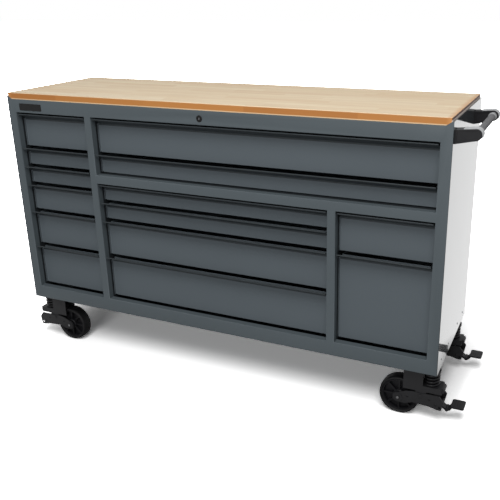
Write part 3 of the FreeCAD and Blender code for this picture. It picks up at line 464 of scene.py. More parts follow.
caster_coat = black("caster_coat", (0.013, 0.013, 0.014), 0.5, 600.0, 0.0002)
rubber_black = black("tyre_rubber", (0.004, 0.004, 0.0045), 0.6, 900.0, 0.0002)
core_black = black("wheel_core_plastic", (0.005, 0.005, 0.006), 0.45, 700.0, 0.0002)
spring_coat = black("spring_coat", (0.007, 0.007, 0.008), 0.32, 500.0, 0.0001)
moulded_black = black("moulded_black", (0.007, 0.007, 0.008), 0.5, 1200.0, 0.0003)
sleeve_grey = black("ribbed_sleeve", (0.13, 0.13, 0.135), 0.6, 900.0, 0.0002)
lock_black = black("lock_black", (0.004, 0.004, 0.004), 0.35, 800.0, 0.0001)
axle_zinc = black("axle_zinc", (0.14, 0.14, 0.145), 0.4, 300.0, 0.0001, ZINC)
slide_zinc = black("slide_zinc", (0.30, 0.30, 0.31), 0.35, 300.0, 0.0001, ZINC)
print("finishes", len(bpy.data.materials))

# %% [markdown]
# ## A finish for every node
# Each piece of the solid model is named for what it is, so a table from a word in the name to a
# finish covers all of them. What the table doesn't name is painted like the frame.

# %% Give every node its finish
FINISHES = (("worktop", wood_material), ("_panel", side_paint), ("_wheel", core_black),
            ("_spring", spring_coat), ("_yoke", caster_coat), ("_swing_arm", caster_coat),
            ("caster_mount_plates", caster_coat), ("_brake_pedal", moulded_black),
            ("handle_", moulded_black), ("slide_rails", slide_zinc), ("inner_frame", inner_shade_paint),
            ("lock_barrel", lock_black), ("drawer", drawer_paint))

for node_name, node_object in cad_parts.items():
    node_finish = next((finish for word, finish in FINISHES if word in node_name), frame_paint)
    node_object.data.materials.clear()
    node_object.data.materials.append(node_finish)
print("finished nodes", len(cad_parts))

# %% [markdown]
# ## Mesh helpers
# Sheet metal is a line with a thickness: each fold is drawn as a path, its corners are rounded, and
# the path is thickened and swept. Turned pieces are a half outline spun round an axis.

# %% Folded paths
def rounded_path(points, radius, steps=4):
    """Path through the points, with each inner corner replaced by an arc-like bend."""
    path = [Vector(points[0])]
    for before, corner, after in zip(points, points[1:], points[2:]):
        before, corner, after = Vector(before), Vector(corner), Vector(after)
        reach = min(radius, (before - corner).length / 2, (after - corner).length / 2)
        start = corner + (before - corner).normalized() * reach
        end = corner + (after - corner).normalized() * reach
        for step in range(steps + 1):
            share = step / steps
            path.append(start.lerp(corner, share).lerp(corner.lerp(end, share), share))
    path.append(Vector(points[-1]))
    return path


def thicken(path, thickness):
    """Closed outline half a thickness to each side of a path."""
    left, right = [], []
    for number, point in enumerate(path):
        way = path[min(number + 1, len(path) - 1)] - path[max(number - 1, 0)]
        side = Vector((-way.y, way.x)).normalized() * (thickness / 2)
        left.append(point + side)
        right.append(point - side)
    return left + right[::-1]


print("path helpers ready")

# %% Arcs and round corners
def arc(centre, radius, start, end, steps):
    """Points of an arc round a centre, from one angle to another in degrees."""
    angles = [math.radians(start + (end - start) * i / steps) for i in range(steps + 1)]
    return [(centre[0] + radius * math.cos(angle), centre[1] + radius * math.sin(angle))
            for angle in angles]


def rounded_rectangle(low, high, radius, steps):
    """Outline of a rectangle between two corners, with round corners of its own."""
    right, left = high[0] - radius, low[0] + radius
    upper, lower = high[1] - radius, low[1] + radius
    outline = []
    for centre, start in (((right, upper), 0), ((left, upper), 90), ((left, lower), 180),
                          ((right, lower), 270)):
        outline += arc(centre, radius, start, start + 90, steps)
    return outline


print("outline helpers ready")

# %% Sweeps and turned shapes
def strip(first, second, count):
    """Faces between two closed rings of points that start at these numbers."""
    return [(first + i, first + (i + 1) % count, second + (i + 1) % count, second + i)
            for i in range(count)]


def sweep(outline, axis, low, high):
    """Outline of two coordinates swept along X, Y or Z, closed at both ends."""
    def lift(point, level):
        first, second = point
        return {"X": (level, first, second), "Y": (first, level, second),
                "Z": (first, second, level)}[axis]
    count = len(outline)
    vertices = [lift(point, low) for point in outline] + [lift(point, high) for point in outline]
    caps = [tuple(range(count)), tuple(range(2 * count - 1, count - 1, -1))]
    return vertices, strip(0, count, count) + caps


def turned(outline, centre, axis, segments=64, closed=True):
    """Outline of (radius, distance along the axis) spun round an axis through the centre."""
    along = {"X": Vector((1, 0, 0)), "Y": Vector((0, 1, 0)), "Z": Vector((0, 0, 1))}[axis]
    across = Vector((0, 0, 1)) if axis != "Z" else Vector((1, 0, 0))
    other = along.cross(across)
    count = len(outline)
    vertices, faces = [], []
    for segment in range(segments):
        angle = 2 * math.pi * segment / segments
        ray = across * math.cos(angle) + other * math.sin(angle)
        vertices += [tuple(Vector(centre) + ray * radius + along * level)
                     for radius, level in outline]
        here, there = segment * count, (segment + 1) % segments * count
        faces += strip(here, there, count)[:count if closed else count - 1]
    return vertices, faces


def rod(centre, radius, low, high, segments):
    """Plain round bar along Y, between two distances from its centre."""
    outline = [(0.0, low), (radius, low), (radius, high), (0.0, high)]
    return turned(outline, centre, "Y", segments, closed=False)


def joined(*parts):
    """Several lists of vertices and faces as one."""
    vertices, faces = [], []
    for part_vertices, part_faces in parts:
        start = len(vertices)
        vertices += part_vertices
        faces += [tuple(start + index for index in face) for face in part_faces]
    return vertices, faces


print("shape helpers ready")

# %% Meshes and finished pieces
WELD = 1e-6
SMOOTH_ANGLE = 35


def outward_mesh(name, shape, smooth_angle=SMOOTH_ANGLE):
    """Mesh of a shape, welded, with faces outwards and edges sharp past an angle."""
    mesh = bpy.data.meshes.new(name)
    mesh.from_pydata([tuple(v) for v in shape[0]], [], shape[1])
    work = bmesh.new()
    work.from_mesh(mesh)
    bmesh.ops.remove_doubles(work, verts=work.verts, dist=WELD)
    bmesh.ops.recalc_face_normals(work, faces=work.faces)
    work.to_mesh(mesh)
    work.free()
    mesh.shade_smooth()
    mesh.set_sharp_from_angle(angle=math.radians(smooth_angle))
    return mesh


def piece(name, mesh, material, body, replaced=()):
    """Finished piece: mesh and finish, the body it rides on, if any, and the nodes it stands for."""
    thing = link(name, mesh)
    mesh.materials.clear()
    mesh.materials.append(material)
    if body:
        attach(thing, body)
    if replaced:
        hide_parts(*replaced)
    return thing


def soften(thing, width, segments=3, angle=40):
    """Bevel on the edges past an angle, so that they catch the light."""
    edge = thing.modifiers.new("edges", "BEVEL")
    edge.width, edge.segments = width, segments
    edge.limit_method, edge.angle_limit = "ANGLE", math.radians(angle)


def box_of(node):
    """Lowest corner, highest corner and middle of a node."""
    low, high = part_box(node)
    return low, high, (low + high) / 2


print("welds under", WELD, "m")

# %% [markdown]
# ## Trees for what repeats
# Ribs, ridges and rivets are one item many times over. A Geometry Nodes tree makes the copies from
# named inputs, is run once, and then turned into a plain mesh. Changing the item or a number
# changes every copy, which pasted copies wouldn't do.

# %% Start, end and run of a tree
def start_tree(name, **inputs):
    """New tree with a geometry input and output and named inputs. Returns its sockets by name."""
    tree = bpy.data.node_groups.new(name, "GeometryNodeTree")
    tree.interface.new_socket(name="Geometry", in_out="INPUT", socket_type="NodeSocketGeometry")
    tree.interface.new_socket(name="Geometry", in_out="OUTPUT", socket_type="NodeSocketGeometry")
    for label, kind in inputs.items():
        tree.interface.new_socket(name=label, in_out="INPUT", socket_type=f"NodeSocket{kind}")
    return tree, tree.nodes.new("NodeGroupInput").outputs, tree.nodes.new("NodeGroupOutput")


def end_tree(tree, output, instances, material):
    """Last steps of every tree: real geometry with a material."""
    real = add_node(tree, "GeometryNodeRealizeInstances", Geometry=instances)
    painted = add_node(tree, "GeometryNodeSetMaterial", Geometry=real.outputs[0], Material=material)
    tree.links.new(painted.outputs[0], output.inputs[0])
    return tree


def grown(name, tree, mesh, **values):
    """Mesh that a tree makes from a mesh and the values of its named inputs."""
    carrier = link(name, mesh)
    modifier = carrier.modifiers.new("tree", "NODES")
    modifier.node_group = tree
    sockets = {socket.name: socket.identifier for socket in tree.interface.items_tree
               if socket.in_out == "INPUT"}
    for label, value in values.items():
        modifier[sockets[label]] = value
    bpy.context.view_layer.update()
    evaluated = carrier.evaluated_get(bpy.context.evaluated_depsgraph_get())
    result = bpy.data.meshes.new_from_object(evaluated)
    bpy.data.objects.remove(carrier)
    return result


print("tree helpers ready")

# %% Trees for copies round, copies in a row and items at points
def copies_of(tree, given):
    """The tree's own geometry as one item, as many times as Count says."""
    item = add_node(tree, "GeometryNodeGeometryToInstance", Geometry=given["Geometry"])
    return add_node(tree, "GeometryNodeDuplicateElements", {"domain": "INSTANCE"},
                    Geometry=item.outputs[0], Amount=given["Count"])


def copies_round():
    """Copies of one item turned evenly about an axis along Y through a centre."""
    tree, given, output = start_tree("copies_round", Count="Int", Centre="Vector",
                                     Material="Material")
    copies = copies_of(tree, given)
    share = math_node(tree, "DIVIDE", copies.outputs["Duplicate Index"], given["Count"])
    angle = math_node(tree, "MULTIPLY", share, 2 * math.pi)
    turns = add_node(tree, "ShaderNodeCombineXYZ", Y=angle)
    turned_on = add_node(tree, "GeometryNodeRotateInstances", Instances=copies.outputs["Geometry"],
                         Rotation=turns.outputs[0], Pivot_Point=given["Centre"], Local_Space=False)
    return end_tree(tree, output, turned_on.outputs[0], given["Material"])


def copies_in_row():
    """Copies of one item, each moved on by a step."""
    tree, given, output = start_tree("copies_in_row", Count="Int", Step="Vector",
                                     Material="Material")
    copies = copies_of(tree, given)
    move = add_node(tree, "ShaderNodeVectorMath", {"operation": "SCALE"}, Vector=given["Step"],
                    Scale=copies.outputs["Duplicate Index"])
    moved = add_node(tree, "GeometryNodeTranslateInstances", Instances=copies.outputs["Geometry"],
                     Translation=move.outputs[0], Local_Space=False)
    return end_tree(tree, output, moved.outputs[0], given["Material"])


def items_at_points():
    """One item on every point of a mesh of loose points."""
    tree, given, output = start_tree("items_at_points", Item="Object", Material="Material")
    item = add_node(tree, "GeometryNodeObjectInfo", Object=given["Item"])
    placed = add_node(tree, "GeometryNodeInstanceOnPoints", Points=given["Geometry"],
                      Instance=item.outputs["Geometry"])
    return end_tree(tree, output, placed.outputs[0], given["Material"])


round_tree = copies_round()
row_tree = copies_in_row()
point_tree = items_at_points()
print("trees", [tree.name for tree in bpy.data.node_groups])

# %% [markdown]
# ## Drawer fronts
# The face of a front lies back in the opening. Its sides turn forward and its foot folds in. A
# strip laps over the top of the face and slopes out to a rolled edge, which is the pull. A solid
# box would lose the soft bends that catch the light, so both are drawn as paths with rounded folds
# and thickened. They are two pieces, because the pull is painted much darker than the face, as
# painted shade.

# %% Fourteen folded fronts
SHEET = 0.0012
FOLD = 0.003
FACE_IN = 0.0415
FLANGE_IN = 0.0335
FOOT_FOLD = 0.018
FOOT_RADIUS = 0.0015
LIP_INSET = 0.0032
LIP_DROP = 0.024
PULL_LAP = 0.006
ROLL = 0.0020
ROLL_ARC = 288
ROLL_STEPS = 14


def folded_face(low, high):
    """Face with turned sides and a foot fold, for the box of one front."""
    face = low.y + FACE_IN + SHEET / 2
    left, right = low.x + SHEET / 2, high.x - SHEET / 2
    plan = rounded_path([(left, low.y + FLANGE_IN), (left, face), (right, face),
                         (right, low.y + FLANGE_IN)], FOLD)
    pan = sweep(thicken(plan, SHEET), "Z", low.z + FOLD, high.z - LIP_DROP)
    foot = rounded_path([(face, low.z + FOLD), (face, low.z + SHEET / 2),
                         (face + FOOT_FOLD, low.z + SHEET / 2)], FOOT_RADIUS)
    return joined(pan, sweep(thicken(foot, SHEET), "X", low.x + FOLD, high.x - FOLD))


def rolled_pull(low, high):
    """Strip from the top of the face out to a rolled edge, for the box of one front."""
    face = low.y + FACE_IN - SHEET / 2
    shoulder = high.z - LIP_DROP
    roll_y, roll_z = low.y + ROLL + SHEET / 2, high.z - ROLL - SHEET / 2
    slope = Vector((face - roll_y, shoulder + SHEET / 2 - roll_z)).normalized()
    first = math.degrees(math.atan2(slope.x, -slope.y))
    rolled = arc((roll_y, roll_z), ROLL, first + ROLL_ARC, first, ROLL_STEPS)
    straight = rounded_path([rolled[-1], (face, shoulder + SHEET / 2),
                             (face, shoulder - PULL_LAP)], FOLD)
    pull = [Vector(point) for point in rolled] + straight[1:]
    return sweep(thicken(pull, SHEET), "X", low.x + LIP_INSET, high.x - LIP_INSET)


drawer_fronts = [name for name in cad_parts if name.endswith("_front") and "drawer" in name]
for name in drawer_fronts:
    drawer = name[:-len("_front")]
    face_mesh = outward_mesh("face", folded_face(*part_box(name)))
    piece(f"folded_{name}", face_mesh, drawer_paint, drawer, [name])
    # Each pull gets the darker paint, which is painted shade.
    pull_mesh = outward_mesh("pull", rolled_pull(*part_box(name)))
    piece(f"pull_{drawer}", pull_mesh, pull_paint, drawer)
print("fronts", len(drawer_fronts), "faces", len(face_mesh.polygons), "and",
      len(pull_mesh.polygons))

# %% [markdown]
# ## Springs
# Each caster carries its load on a coil spring round a waved rubber buffer, between the fork's shelf
# and a cap that the swing arm holds. A coil is a rule rather than a sculpture: its tree walks along
# a line of points and sets each one on a helix, flat for a bit more than half a turn at both ends
# as a ground spring is.

# %% Tree of a coil
def coil_tree():
    """Tube along a helix between two levels, with flat ends."""
    tree, given, output = start_tree("coil", Radius="Float", Wire="Float", Foot="Vector",
                                     Height="Float", Turns="Float", Dead="Float", Points="Int",
                                     Material="Material")
    line = add_node(tree, "GeometryNodeCurvePrimitiveLine")
    points = add_node(tree, "GeometryNodeResampleCurve", Curve=line.outputs[0],
                      Count=given["Points"])
    number = add_node(tree, "GeometryNodeInputIndex").outputs[0]
    last = math_node(tree, "SUBTRACT", given["Points"], 1.0)
    turn_now = math_node(tree, "MULTIPLY", math_node(tree, "DIVIDE", number, last), given["Turns"])
    angle = math_node(tree, "MULTIPLY", turn_now, 2 * math.pi)
    live_end = math_node(tree, "SUBTRACT", given["Turns"], given["Dead"])
    top = math_node(tree, "SUBTRACT", given["Height"], given["Wire"])
    rise = map_range(tree, turn_now, given["Dead"], live_end, given["Wire"], top)
    across = math_node(tree, "MULTIPLY", math_node(tree, "COSINE", angle), given["Radius"])
    back = math_node(tree, "MULTIPLY", math_node(tree, "SINE", angle), given["Radius"])
    place = add_node(tree, "ShaderNodeCombineXYZ", X=across, Y=back, Z=rise)
    moved = add_node(tree, "ShaderNodeVectorMath", {"operation": "ADD"}, i0=place.outputs[0],
                     i1=given["Foot"])
    helix = add_node(tree, "GeometryNodeSetPosition", Geometry=points.outputs[0],
                     Position=moved.outputs[0])
    section = add_node(tree, "GeometryNodeCurvePrimitiveCircle", Resolution=10,
                       Radius=given["Wire"])
    tube = add_node(tree, "GeometryNodeCurveToMesh", Curve=helix.outputs[0],
                    Profile_Curve=section.outputs["Curve"], Fill_Caps=True)
    smooth = add_node(tree, "GeometryNodeSetShadeSmooth", Geometry=tube.outputs[0])
    return end_tree(tree, output, smooth.outputs[0], given["Material"])


coil = coil_tree()
print("coil nodes", len(coil.nodes))

# %% Four springs with their buffers
SPRING_TURNS = 5.2
DEAD_TURNS = 0.6
WIRE = 0.004
COIL_RADIUS = 0.0293
SPRING_POINTS = 300
BUFFER_RADIUS = 0.0208
BUFFER_BORE = 0.009
BUFFER_WAVE = 0.0015
BUFFER_STEPS = 12
BUFFER_PLAY = 0.0002


def buffer_side(low, high):
    """Half outline of a buffer between two levels, waved like a bellows."""
    foot, rise = low + BUFFER_PLAY, high - low - 2 * BUFFER_PLAY
    waves = [(BUFFER_RADIUS - BUFFER_WAVE * (step % 2), foot + rise * step / BUFFER_STEPS)
             for step in range(BUFFER_STEPS + 1)]
    return [(BUFFER_BORE, waves[0][1])] + waves + [(BUFFER_BORE, waves[-1][1])]


casters = [name[:-len("_spring")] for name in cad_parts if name.endswith("_spring")]
for name in casters:
    low, high, centre = box_of(f"{name}_spring")
    coil_mesh = grown(f"{name}_coil_path", coil, bpy.data.meshes.new("empty"),
                      Radius=COIL_RADIUS - WIRE, Wire=WIRE, Foot=(centre.x, centre.y, low.z),
                      Height=high.z - low.z, Turns=SPRING_TURNS, Dead=DEAD_TURNS,
                      Points=SPRING_POINTS, Material=spring_coat)
    spring = piece(f"{name}_coil", coil_mesh, spring_coat, None, [f"{name}_spring"])
    waved = turned(buffer_side(low.z, high.z), (centre.x, centre.y, 0), "Z", 40)
    buffer = piece(f"{name}_buffer", outward_mesh(f"{name}_buffer", waved), rubber_black, None)
    for soft in (spring, buffer):
        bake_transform(soft)
print("springs", len(casters), "height", round(high.z - low.z, 4))

# %% [markdown]
# ## Wheels
# A wheel is a hard core with a rubber tread moulded round it. Core and tread are turned about the
# axle; the eight ribs between hub and rim come from the tree that copies one rib round the centre.
# The tread's shoulders are rounded, and a thin line marks where rubber meets core.

# %% Sections of a wheel
RIM = 0.0645
HUB = 0.021
AXLE_BORE = 0.0061
SHOULDER = 0.006
WEB_HALF = 0.003


def mirrored_outline(one, shared=0):
    """Outline and its mirror image across the wheel's middle, without the shared points."""
    return one + [(radius, -y) for radius, y in reversed(one[:len(one) - shared])]


def tread_outline(radius, half):
    """Section of the tread: a step up from the core, round shoulders, flat running surface."""
    step = [(RIM - 0.002, half - 0.008), (RIM + 0.001, half - 0.003), (RIM + 0.003, half - 0.0015)]
    shoulder = arc((radius - SHOULDER - 0.001, half - SHOULDER), SHOULDER, 90, 12, 5)
    return mirrored_outline(step + shoulder + [(radius, half * 0.45), (radius, 0.0)], shared=1)


def core_outline(half):
    """Section of the core: hub with a chamfer and a bore, thin web, rim with a raised lip."""
    hub = [(AXLE_BORE, half - 0.0025), (HUB - 0.002, half - 0.0025), (HUB, half - 0.0045)]
    web = [(HUB + 0.0015, WEB_HALF), (RIM - 0.008, WEB_HALF)]
    lip = [(RIM - 0.006, half - 0.009), (RIM - 0.004, half - 0.0055), (RIM - 0.001, half - 0.0055),
           (RIM - 0.001, half - 0.008)]
    return mirrored_outline(hub + web + lip)


print("rim", RIM, "hub", HUB)

# %% Four wheels
RIB_COUNT = 8
RIB_HALF = 0.0030
RIB_TAPER = 0.8
RIB_INSET = 0.0075
RIB_FOOT = HUB - 0.002
RIB_TOP = RIM - 0.004


def wheel_rib(centre, half):
    """One tapered rib from the hub up to the rim."""
    top_half = RIB_HALF * RIB_TAPER
    outline = [(centre.x + across, centre.z + up)
               for across, up in ((-RIB_HALF, RIB_FOOT), (RIB_HALF, RIB_FOOT), (top_half, RIB_TOP),
                                  (-top_half, RIB_TOP))]
    return sweep(outline, "Y", centre.y - half + RIB_INSET, centre.y + half - RIB_INSET)


for name in casters:
    body = f"{name}_wheel"
    low, high, centre = box_of(body)
    radius, half = (high.z - low.z) / 2, (high.y - low.y) / 2
    tread = outward_mesh("tread", turned(tread_outline(radius, half), centre, "Y", 96), 50)
    piece(f"{name}_tread", tread, rubber_black, body, [body])
    core = outward_mesh("core", turned(core_outline(half), centre, "Y", 72))
    piece(f"{name}_core", core, core_black, body)
    rib = outward_mesh("rib", wheel_rib(centre, half))
    ribs = grown("ribs", round_tree, rib, Count=RIB_COUNT, Centre=tuple(centre),
                 Material=core_black)
    piece(f"{name}_ribs", ribs, core_black, body)
print("wheel radius", round(radius, 4), "ribs", RIB_COUNT)

# %% [markdown]
# ## Push handle
# The grip is a tube in a ribbed rubber sleeve, held by two moulded arms. Light grey collars close
# the sleeve at both arms, and a light grey cover runs over the top of each arm to its tip. The
# sleeve's ribs are one ring copied in a row; the arms are their side outline with rounded edges.

# %% Light grey plastic
def light_grey_plastic():
    """Pale moulded plastic with a faint cloud and a fine grain."""
    material, tree, shader = new_material("light_grey_plastic")
    place = object_coordinates(tree)
    cloud = noise(tree, place, scale=40.0, detail=3.0)
    shade = blend_colours(tree, cloud, (0.36, 0.37, 0.38, 1), (0.44, 0.45, 0.46, 1))
    tree.links.new(shade, shader.inputs["Base Color"])
    tree.links.new(varied(tree, cloud, 0.32, 0.42), shader.inputs["Roughness"])
    bump(tree, shader, noise(tree, place, scale=900.0), strength=0.15, distance=0.0002)
    return material


light_plastic = light_grey_plastic()
print("made", light_plastic.name)

# %% Ribbed sleeve on its tube
ARM_THICK = 0.042
TUBE = 0.0108
COLLAR_LENGTH = 0.024
SLEEVE = 0.0121
RIB_DEPTH = 0.0012
RIB_PITCH = 0.0062
grip_low, grip_high, grip_centre = box_of("handle_grip")
arms_low, arms_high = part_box("handle_arms")

sleeve_start = arms_low.y + ARM_THICK + COLLAR_LENGTH
sleeve_end = arms_high.y - ARM_THICK - COLLAR_LENGTH
rib_count = int((sleeve_end - sleeve_start) / RIB_PITCH)
groove = SLEEVE - RIB_DEPTH
ring_outline = [(groove, 0.0), (groove, RIB_PITCH), (groove, RIB_PITCH * 0.85),
                (SLEEVE, RIB_PITCH * 0.72), (SLEEVE, RIB_PITCH * 0.28), (groove, RIB_PITCH * 0.15)]
ring_at = (grip_centre.x, sleeve_start, grip_centre.z)
ring = outward_mesh("grip_ring", turned(ring_outline, ring_at, "Y", 32), 60)
sleeve = grown("sleeve", row_tree, ring, Count=rib_count, Step=(0, RIB_PITCH, 0),
               Material=sleeve_grey)
piece("grip_sleeve", sleeve, sleeve_grey, "cabinet", ["handle_grip"])
tube = rod(grip_centre, TUBE, grip_low.y - grip_centre.y, grip_high.y - grip_centre.y, 32)
piece("grip_tube", outward_mesh("grip_tube", tube), moulded_black, "cabinet")
print("grip ribs", rib_count)

# %% Two collars
COLLAR = 0.014
COLLAR_BORE = 0.0105
collars = []
for start, end in ((arms_low.y + ARM_THICK, sleeve_start), (sleeve_end, arms_high.y - ARM_THICK)):
    outline = [(COLLAR_BORE, start), (COLLAR - 0.001, start), (COLLAR, start + 0.001),
               (COLLAR, end - 0.002), (COLLAR - 0.0015, end), (COLLAR_BORE, end)]
    collars.append(turned(outline, (grip_centre.x, 0, grip_centre.z), "Y", 40))
piece("grip_collars", outward_mesh("grip_collars", joined(*collars)), light_plastic, "cabinet")
print("collars", len(collars))

# %% Outlines of an arm
ARM_TIP = 0.019
ROOT_DROP = 0.061
ROOT_HEIGHT = 0.046
COVER = 0.002
COVER_FROM = 0.4
root_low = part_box("worktop")[0].z - ROOT_DROP
tip = (grip_centre.x, grip_centre.z)


def arm_side(grow=0.0, root=0.0):
    """Side outline of an arm in (x, z): tall root at the cabinet's side, round tip at the grip."""
    radius = ARM_TIP + grow
    return ([(arms_low.x + root, root_low - grow), (tip[0], tip[1] - radius)]
            + arc(tip, radius, -75, 75, 10)
            + [(tip[0], tip[1] + radius), (arms_low.x + root, root_low + ROOT_HEIGHT + grow)])


def cover_side():
    """Outline of the thin cover that runs along the top of an arm and round its tip."""
    root_top = Vector((arms_low.x, root_low + ROOT_HEIGHT))
    begin = root_top.lerp(Vector((tip[0], tip[1] + ARM_TIP)), COVER_FROM) + Vector((0, COVER / 2))
    round_tip = [Vector(point) for point in arc(tip, ARM_TIP + COVER / 2, 90, -30, 12)]
    return thicken([begin] + round_tip, COVER)


def hollow_sweep(outer, inner, low, high):
    """Rim between two outlines with as many points each, swept along Y."""
    count = len(outer)
    vertices = [(x, level, z) for level in (low, high) for x, z in outer + inner]
    faces = strip(0, count, count) + strip(2 * count, 3 * count, count)
    return vertices, faces + strip(0, 2 * count, count) + strip(count, 3 * count, count)


print("arm outline", len(arm_side()), "points")

# %% Two arms with rims and covers
RECESS = 0.003
RIM_WIDTH = 0.005
RIM_ROOT = 0.006
COVER_MARGIN = 0.003
ARM_EDGE = 0.003
for number, start in enumerate((arms_low.y, arms_high.y - ARM_THICK), start=1):
    end = start + ARM_THICK
    arm_mesh = outward_mesh("arm", sweep(arm_side(), "Y", start + RECESS, end - RECESS))
    arm = piece(f"handle_arm_{number}", arm_mesh, moulded_black, "cabinet",
                ["handle_arms"] if number == 1 else ())
    soften(arm, ARM_EDGE)
    rims = [hollow_sweep(arm_side(), arm_side(-RIM_WIDTH, RIM_ROOT), side, side + 2 * RECESS)
            for side in (start, end - 2 * RECESS)]
    piece(f"handle_arm_rim_{number}", outward_mesh("rim", joined(*rims)), moulded_black, "cabinet")
    cover = sweep(cover_side(), "Y", start + COVER_MARGIN, end - COVER_MARGIN)
    piece(f"handle_arm_cover_{number}", outward_mesh("cover", cover), light_plastic, "cabinet")
print("arms", number)

# %% [markdown]
# ## Front frame
# The frame is pressed from one sheet, and its folds have a radius of about three millimetres. That
# radius is what draws a thin light line along every opening. The solid has sharp folds, so a copy
# of its mesh is merged and its front edges are rounded. The copy stands for the solid.

# %% Frame with rounded folds
FRAME_FOLD = 0.003
FOLD_ANGLE = 40
IN_PLANE = 1e-5


def folded_copy(node, radius, segments=3):
    """Copy of a node's mesh with the sharp edges in its front plane rounded."""
    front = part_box(node)[0].y
    work = bmesh.new()
    work.from_mesh(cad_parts[node].data)
    bmesh.ops.remove_doubles(work, verts=work.verts, dist=WELD)
    bmesh.ops.dissolve_limit(work, angle_limit=math.radians(1), verts=work.verts, edges=work.edges)
    folds = [edge for edge in work.edges if len(edge.link_faces) == 2
             and all(abs(vertex.co.y - front) < IN_PLANE for vertex in edge.verts)
             and edge.calc_face_angle() > math.radians(FOLD_ANGLE)]
    bmesh.ops.bevel(work, geom=folds, offset=radius, segments=segments, profile=0.5, affect="EDGES",
                    clamp_overlap=False)
    bmesh.ops.triangulate(work, faces=work.faces)
    mesh = bpy.data.meshes.new(f"{node}_folded")
    work.to_mesh(mesh)
    work.free()
    mesh.shade_smooth()
    mesh.set_sharp_from_angle(angle=math.radians(SMOOTH_ANGLE))
    return mesh, len(folds)


frame_mesh, fold_count = folded_copy("front_frame", FRAME_FOLD)
piece("front_frame_folded", frame_mesh, frame_paint, "cabinet", ["front_frame"])
print("rounded folds", fold_count)

# %% [markdown]
# ## Brake pedals
# The pedal of a braked caster is one casting: a hub between the arm's cheeks, a lever that dips
# below the arm's end and comes up again, and a pad with ridges across it for the sole of a shoe.
# The lever is a bent path that is thickened and swept; the pad is a rounded plan, and a small bevel
# softens them all.

# %% Casting of a pedal
WHEEL_TRAIL = 0.055
PEDAL_PIN = (0.100, 0.066)
PEDAL_HUB = 0.009
HUB_HALF = 0.0262
LEVER_BENDS = ((0.117, 0.0535), (0.130, 0.0515), (0.139, 0.0640), (0.146, 0.0745))
LEVER_SHEET = 0.008
LEVER_RADIUS = 0.008
LEVER_HALF = 0.014
BOSS_AT = (0.1235, 0.0525)
BOSS = 0.0065
BOSS_HALF = LEVER_HALF + 0.002
PEDAL_PAD = (0.138, 0.186)
PAD_HALF = 0.028
PAD_TOP = 0.0785
PAD_SHEET = 0.007
PAD_CORNER = 0.008


def swivel_axis(caster):
    """Plan of a caster's swivel axis, and the side of the cabinet that it stands on."""
    low, high, centre = box_of(f"{caster}_wheel")
    side = 1 if low.x > 0 else -1
    return centre.x + side * WHEEL_TRAIL, centre.y, side


def pedal_casting(axis_x, axis_y):
    """Lever, hub, boss and pad, placed from the swivel axis of a caster on the right."""
    path = rounded_path([(axis_x + out, level) for out, level in (PEDAL_PIN, *LEVER_BENDS)],
                        LEVER_RADIUS, 5)
    lever = sweep(thicken(path, LEVER_SHEET), "Y", axis_y - LEVER_HALF, axis_y + LEVER_HALF)
    hub = rod((axis_x + PEDAL_PIN[0], axis_y, PEDAL_PIN[1]), PEDAL_HUB, -HUB_HALF, HUB_HALF, 32)
    boss = rod((axis_x + BOSS_AT[0], axis_y, BOSS_AT[1]), BOSS, -BOSS_HALF, BOSS_HALF, 24)
    plan = rounded_rectangle((axis_x + PEDAL_PAD[0], axis_y - PAD_HALF),
                             (axis_x + PEDAL_PAD[1], axis_y + PAD_HALF), PAD_CORNER, 6)
    return joined(lever, hub, boss, sweep(plan, "Z", PAD_TOP - PAD_SHEET, PAD_TOP))


print("pedal pad", round(PEDAL_PAD[1] - PEDAL_PAD[0], 3), "by", 2 * PAD_HALF)

# %% Two brake pedals with ridges
RIDGE_COUNT = 4
RIDGE_PITCH = 0.0085
RIDGE_RISE = 0.0012
RIDGE_SINK = 0.0005
RIDGE_FROM = 0.008
RIDGE_MARGIN = 0.005
RIDGE_FOOT = (0.0, 0.003)
RIDGE_BACK = (0.0008, 0.0022)
PEDAL_EDGE = 0.0012


def pad_ridge(axis_x, axis_y):
    """First ridge across the pad, a little narrower on top than at its foot."""
    start = axis_x + PEDAL_PAD[0] + RIDGE_FROM
    foot, back = PAD_TOP - RIDGE_SINK, PAD_TOP + RIDGE_RISE
    outline = [(start + RIDGE_FOOT[0], foot), (start + RIDGE_FOOT[1], foot),
               (start + RIDGE_BACK[1], back), (start + RIDGE_BACK[0], back)]
    reach = PAD_HALF - RIDGE_MARGIN
    return sweep(outline, "Y", axis_y - reach, axis_y + reach)


braked = [name for name in casters if f"{name}_brake_pedal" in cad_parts]
for name in braked:
    axis_x, axis_y, _ = swivel_axis(name)
    pedal = piece(f"{name}_pedal_casting", outward_mesh("pedal", pedal_casting(axis_x, axis_y)),
                  moulded_black, f"{name}_pedal", [f"{name}_brake_pedal"])
    soften(pedal, PEDAL_EDGE, 2)
    ridge = outward_mesh("ridge", pad_ridge(axis_x, axis_y))
    ridges = grown("ridges", row_tree, ridge, Count=RIDGE_COUNT, Step=(RIDGE_PITCH, 0, 0),
                   Material=moulded_black)
    piece(f"{name}_pedal_ridges", ridges, moulded_black, f"{name}_pedal")
print("pedals", len(braked), "ridges each", RIDGE_COUNT)

# %% [markdown]
# ## Lock and blank plate
# The lock is a turned barrel in the middle of the top rail, and a thin zinc guard in it marks where
# the key goes. At the rail's left end sits a bare black plate. Both are small, but they are all
# there is on a wide plain rail, so they are made as pieces and not as spots of colour.

# %% Lock barrel and plate
KEY_HALF_WIDTH = 0.0006
KEY_HALF_HEIGHT = 0.0042
KEY_FROM, KEY_TO = 0.0004, 0.001
LOCK_SHANK = 0.0095
PLATE_LOW = (-0.888, 1.0625)
PLATE_HIGH = (-0.775, 1.0905)
PLATE_CORNER = 0.003
PLATE_SHEET = 0.0012

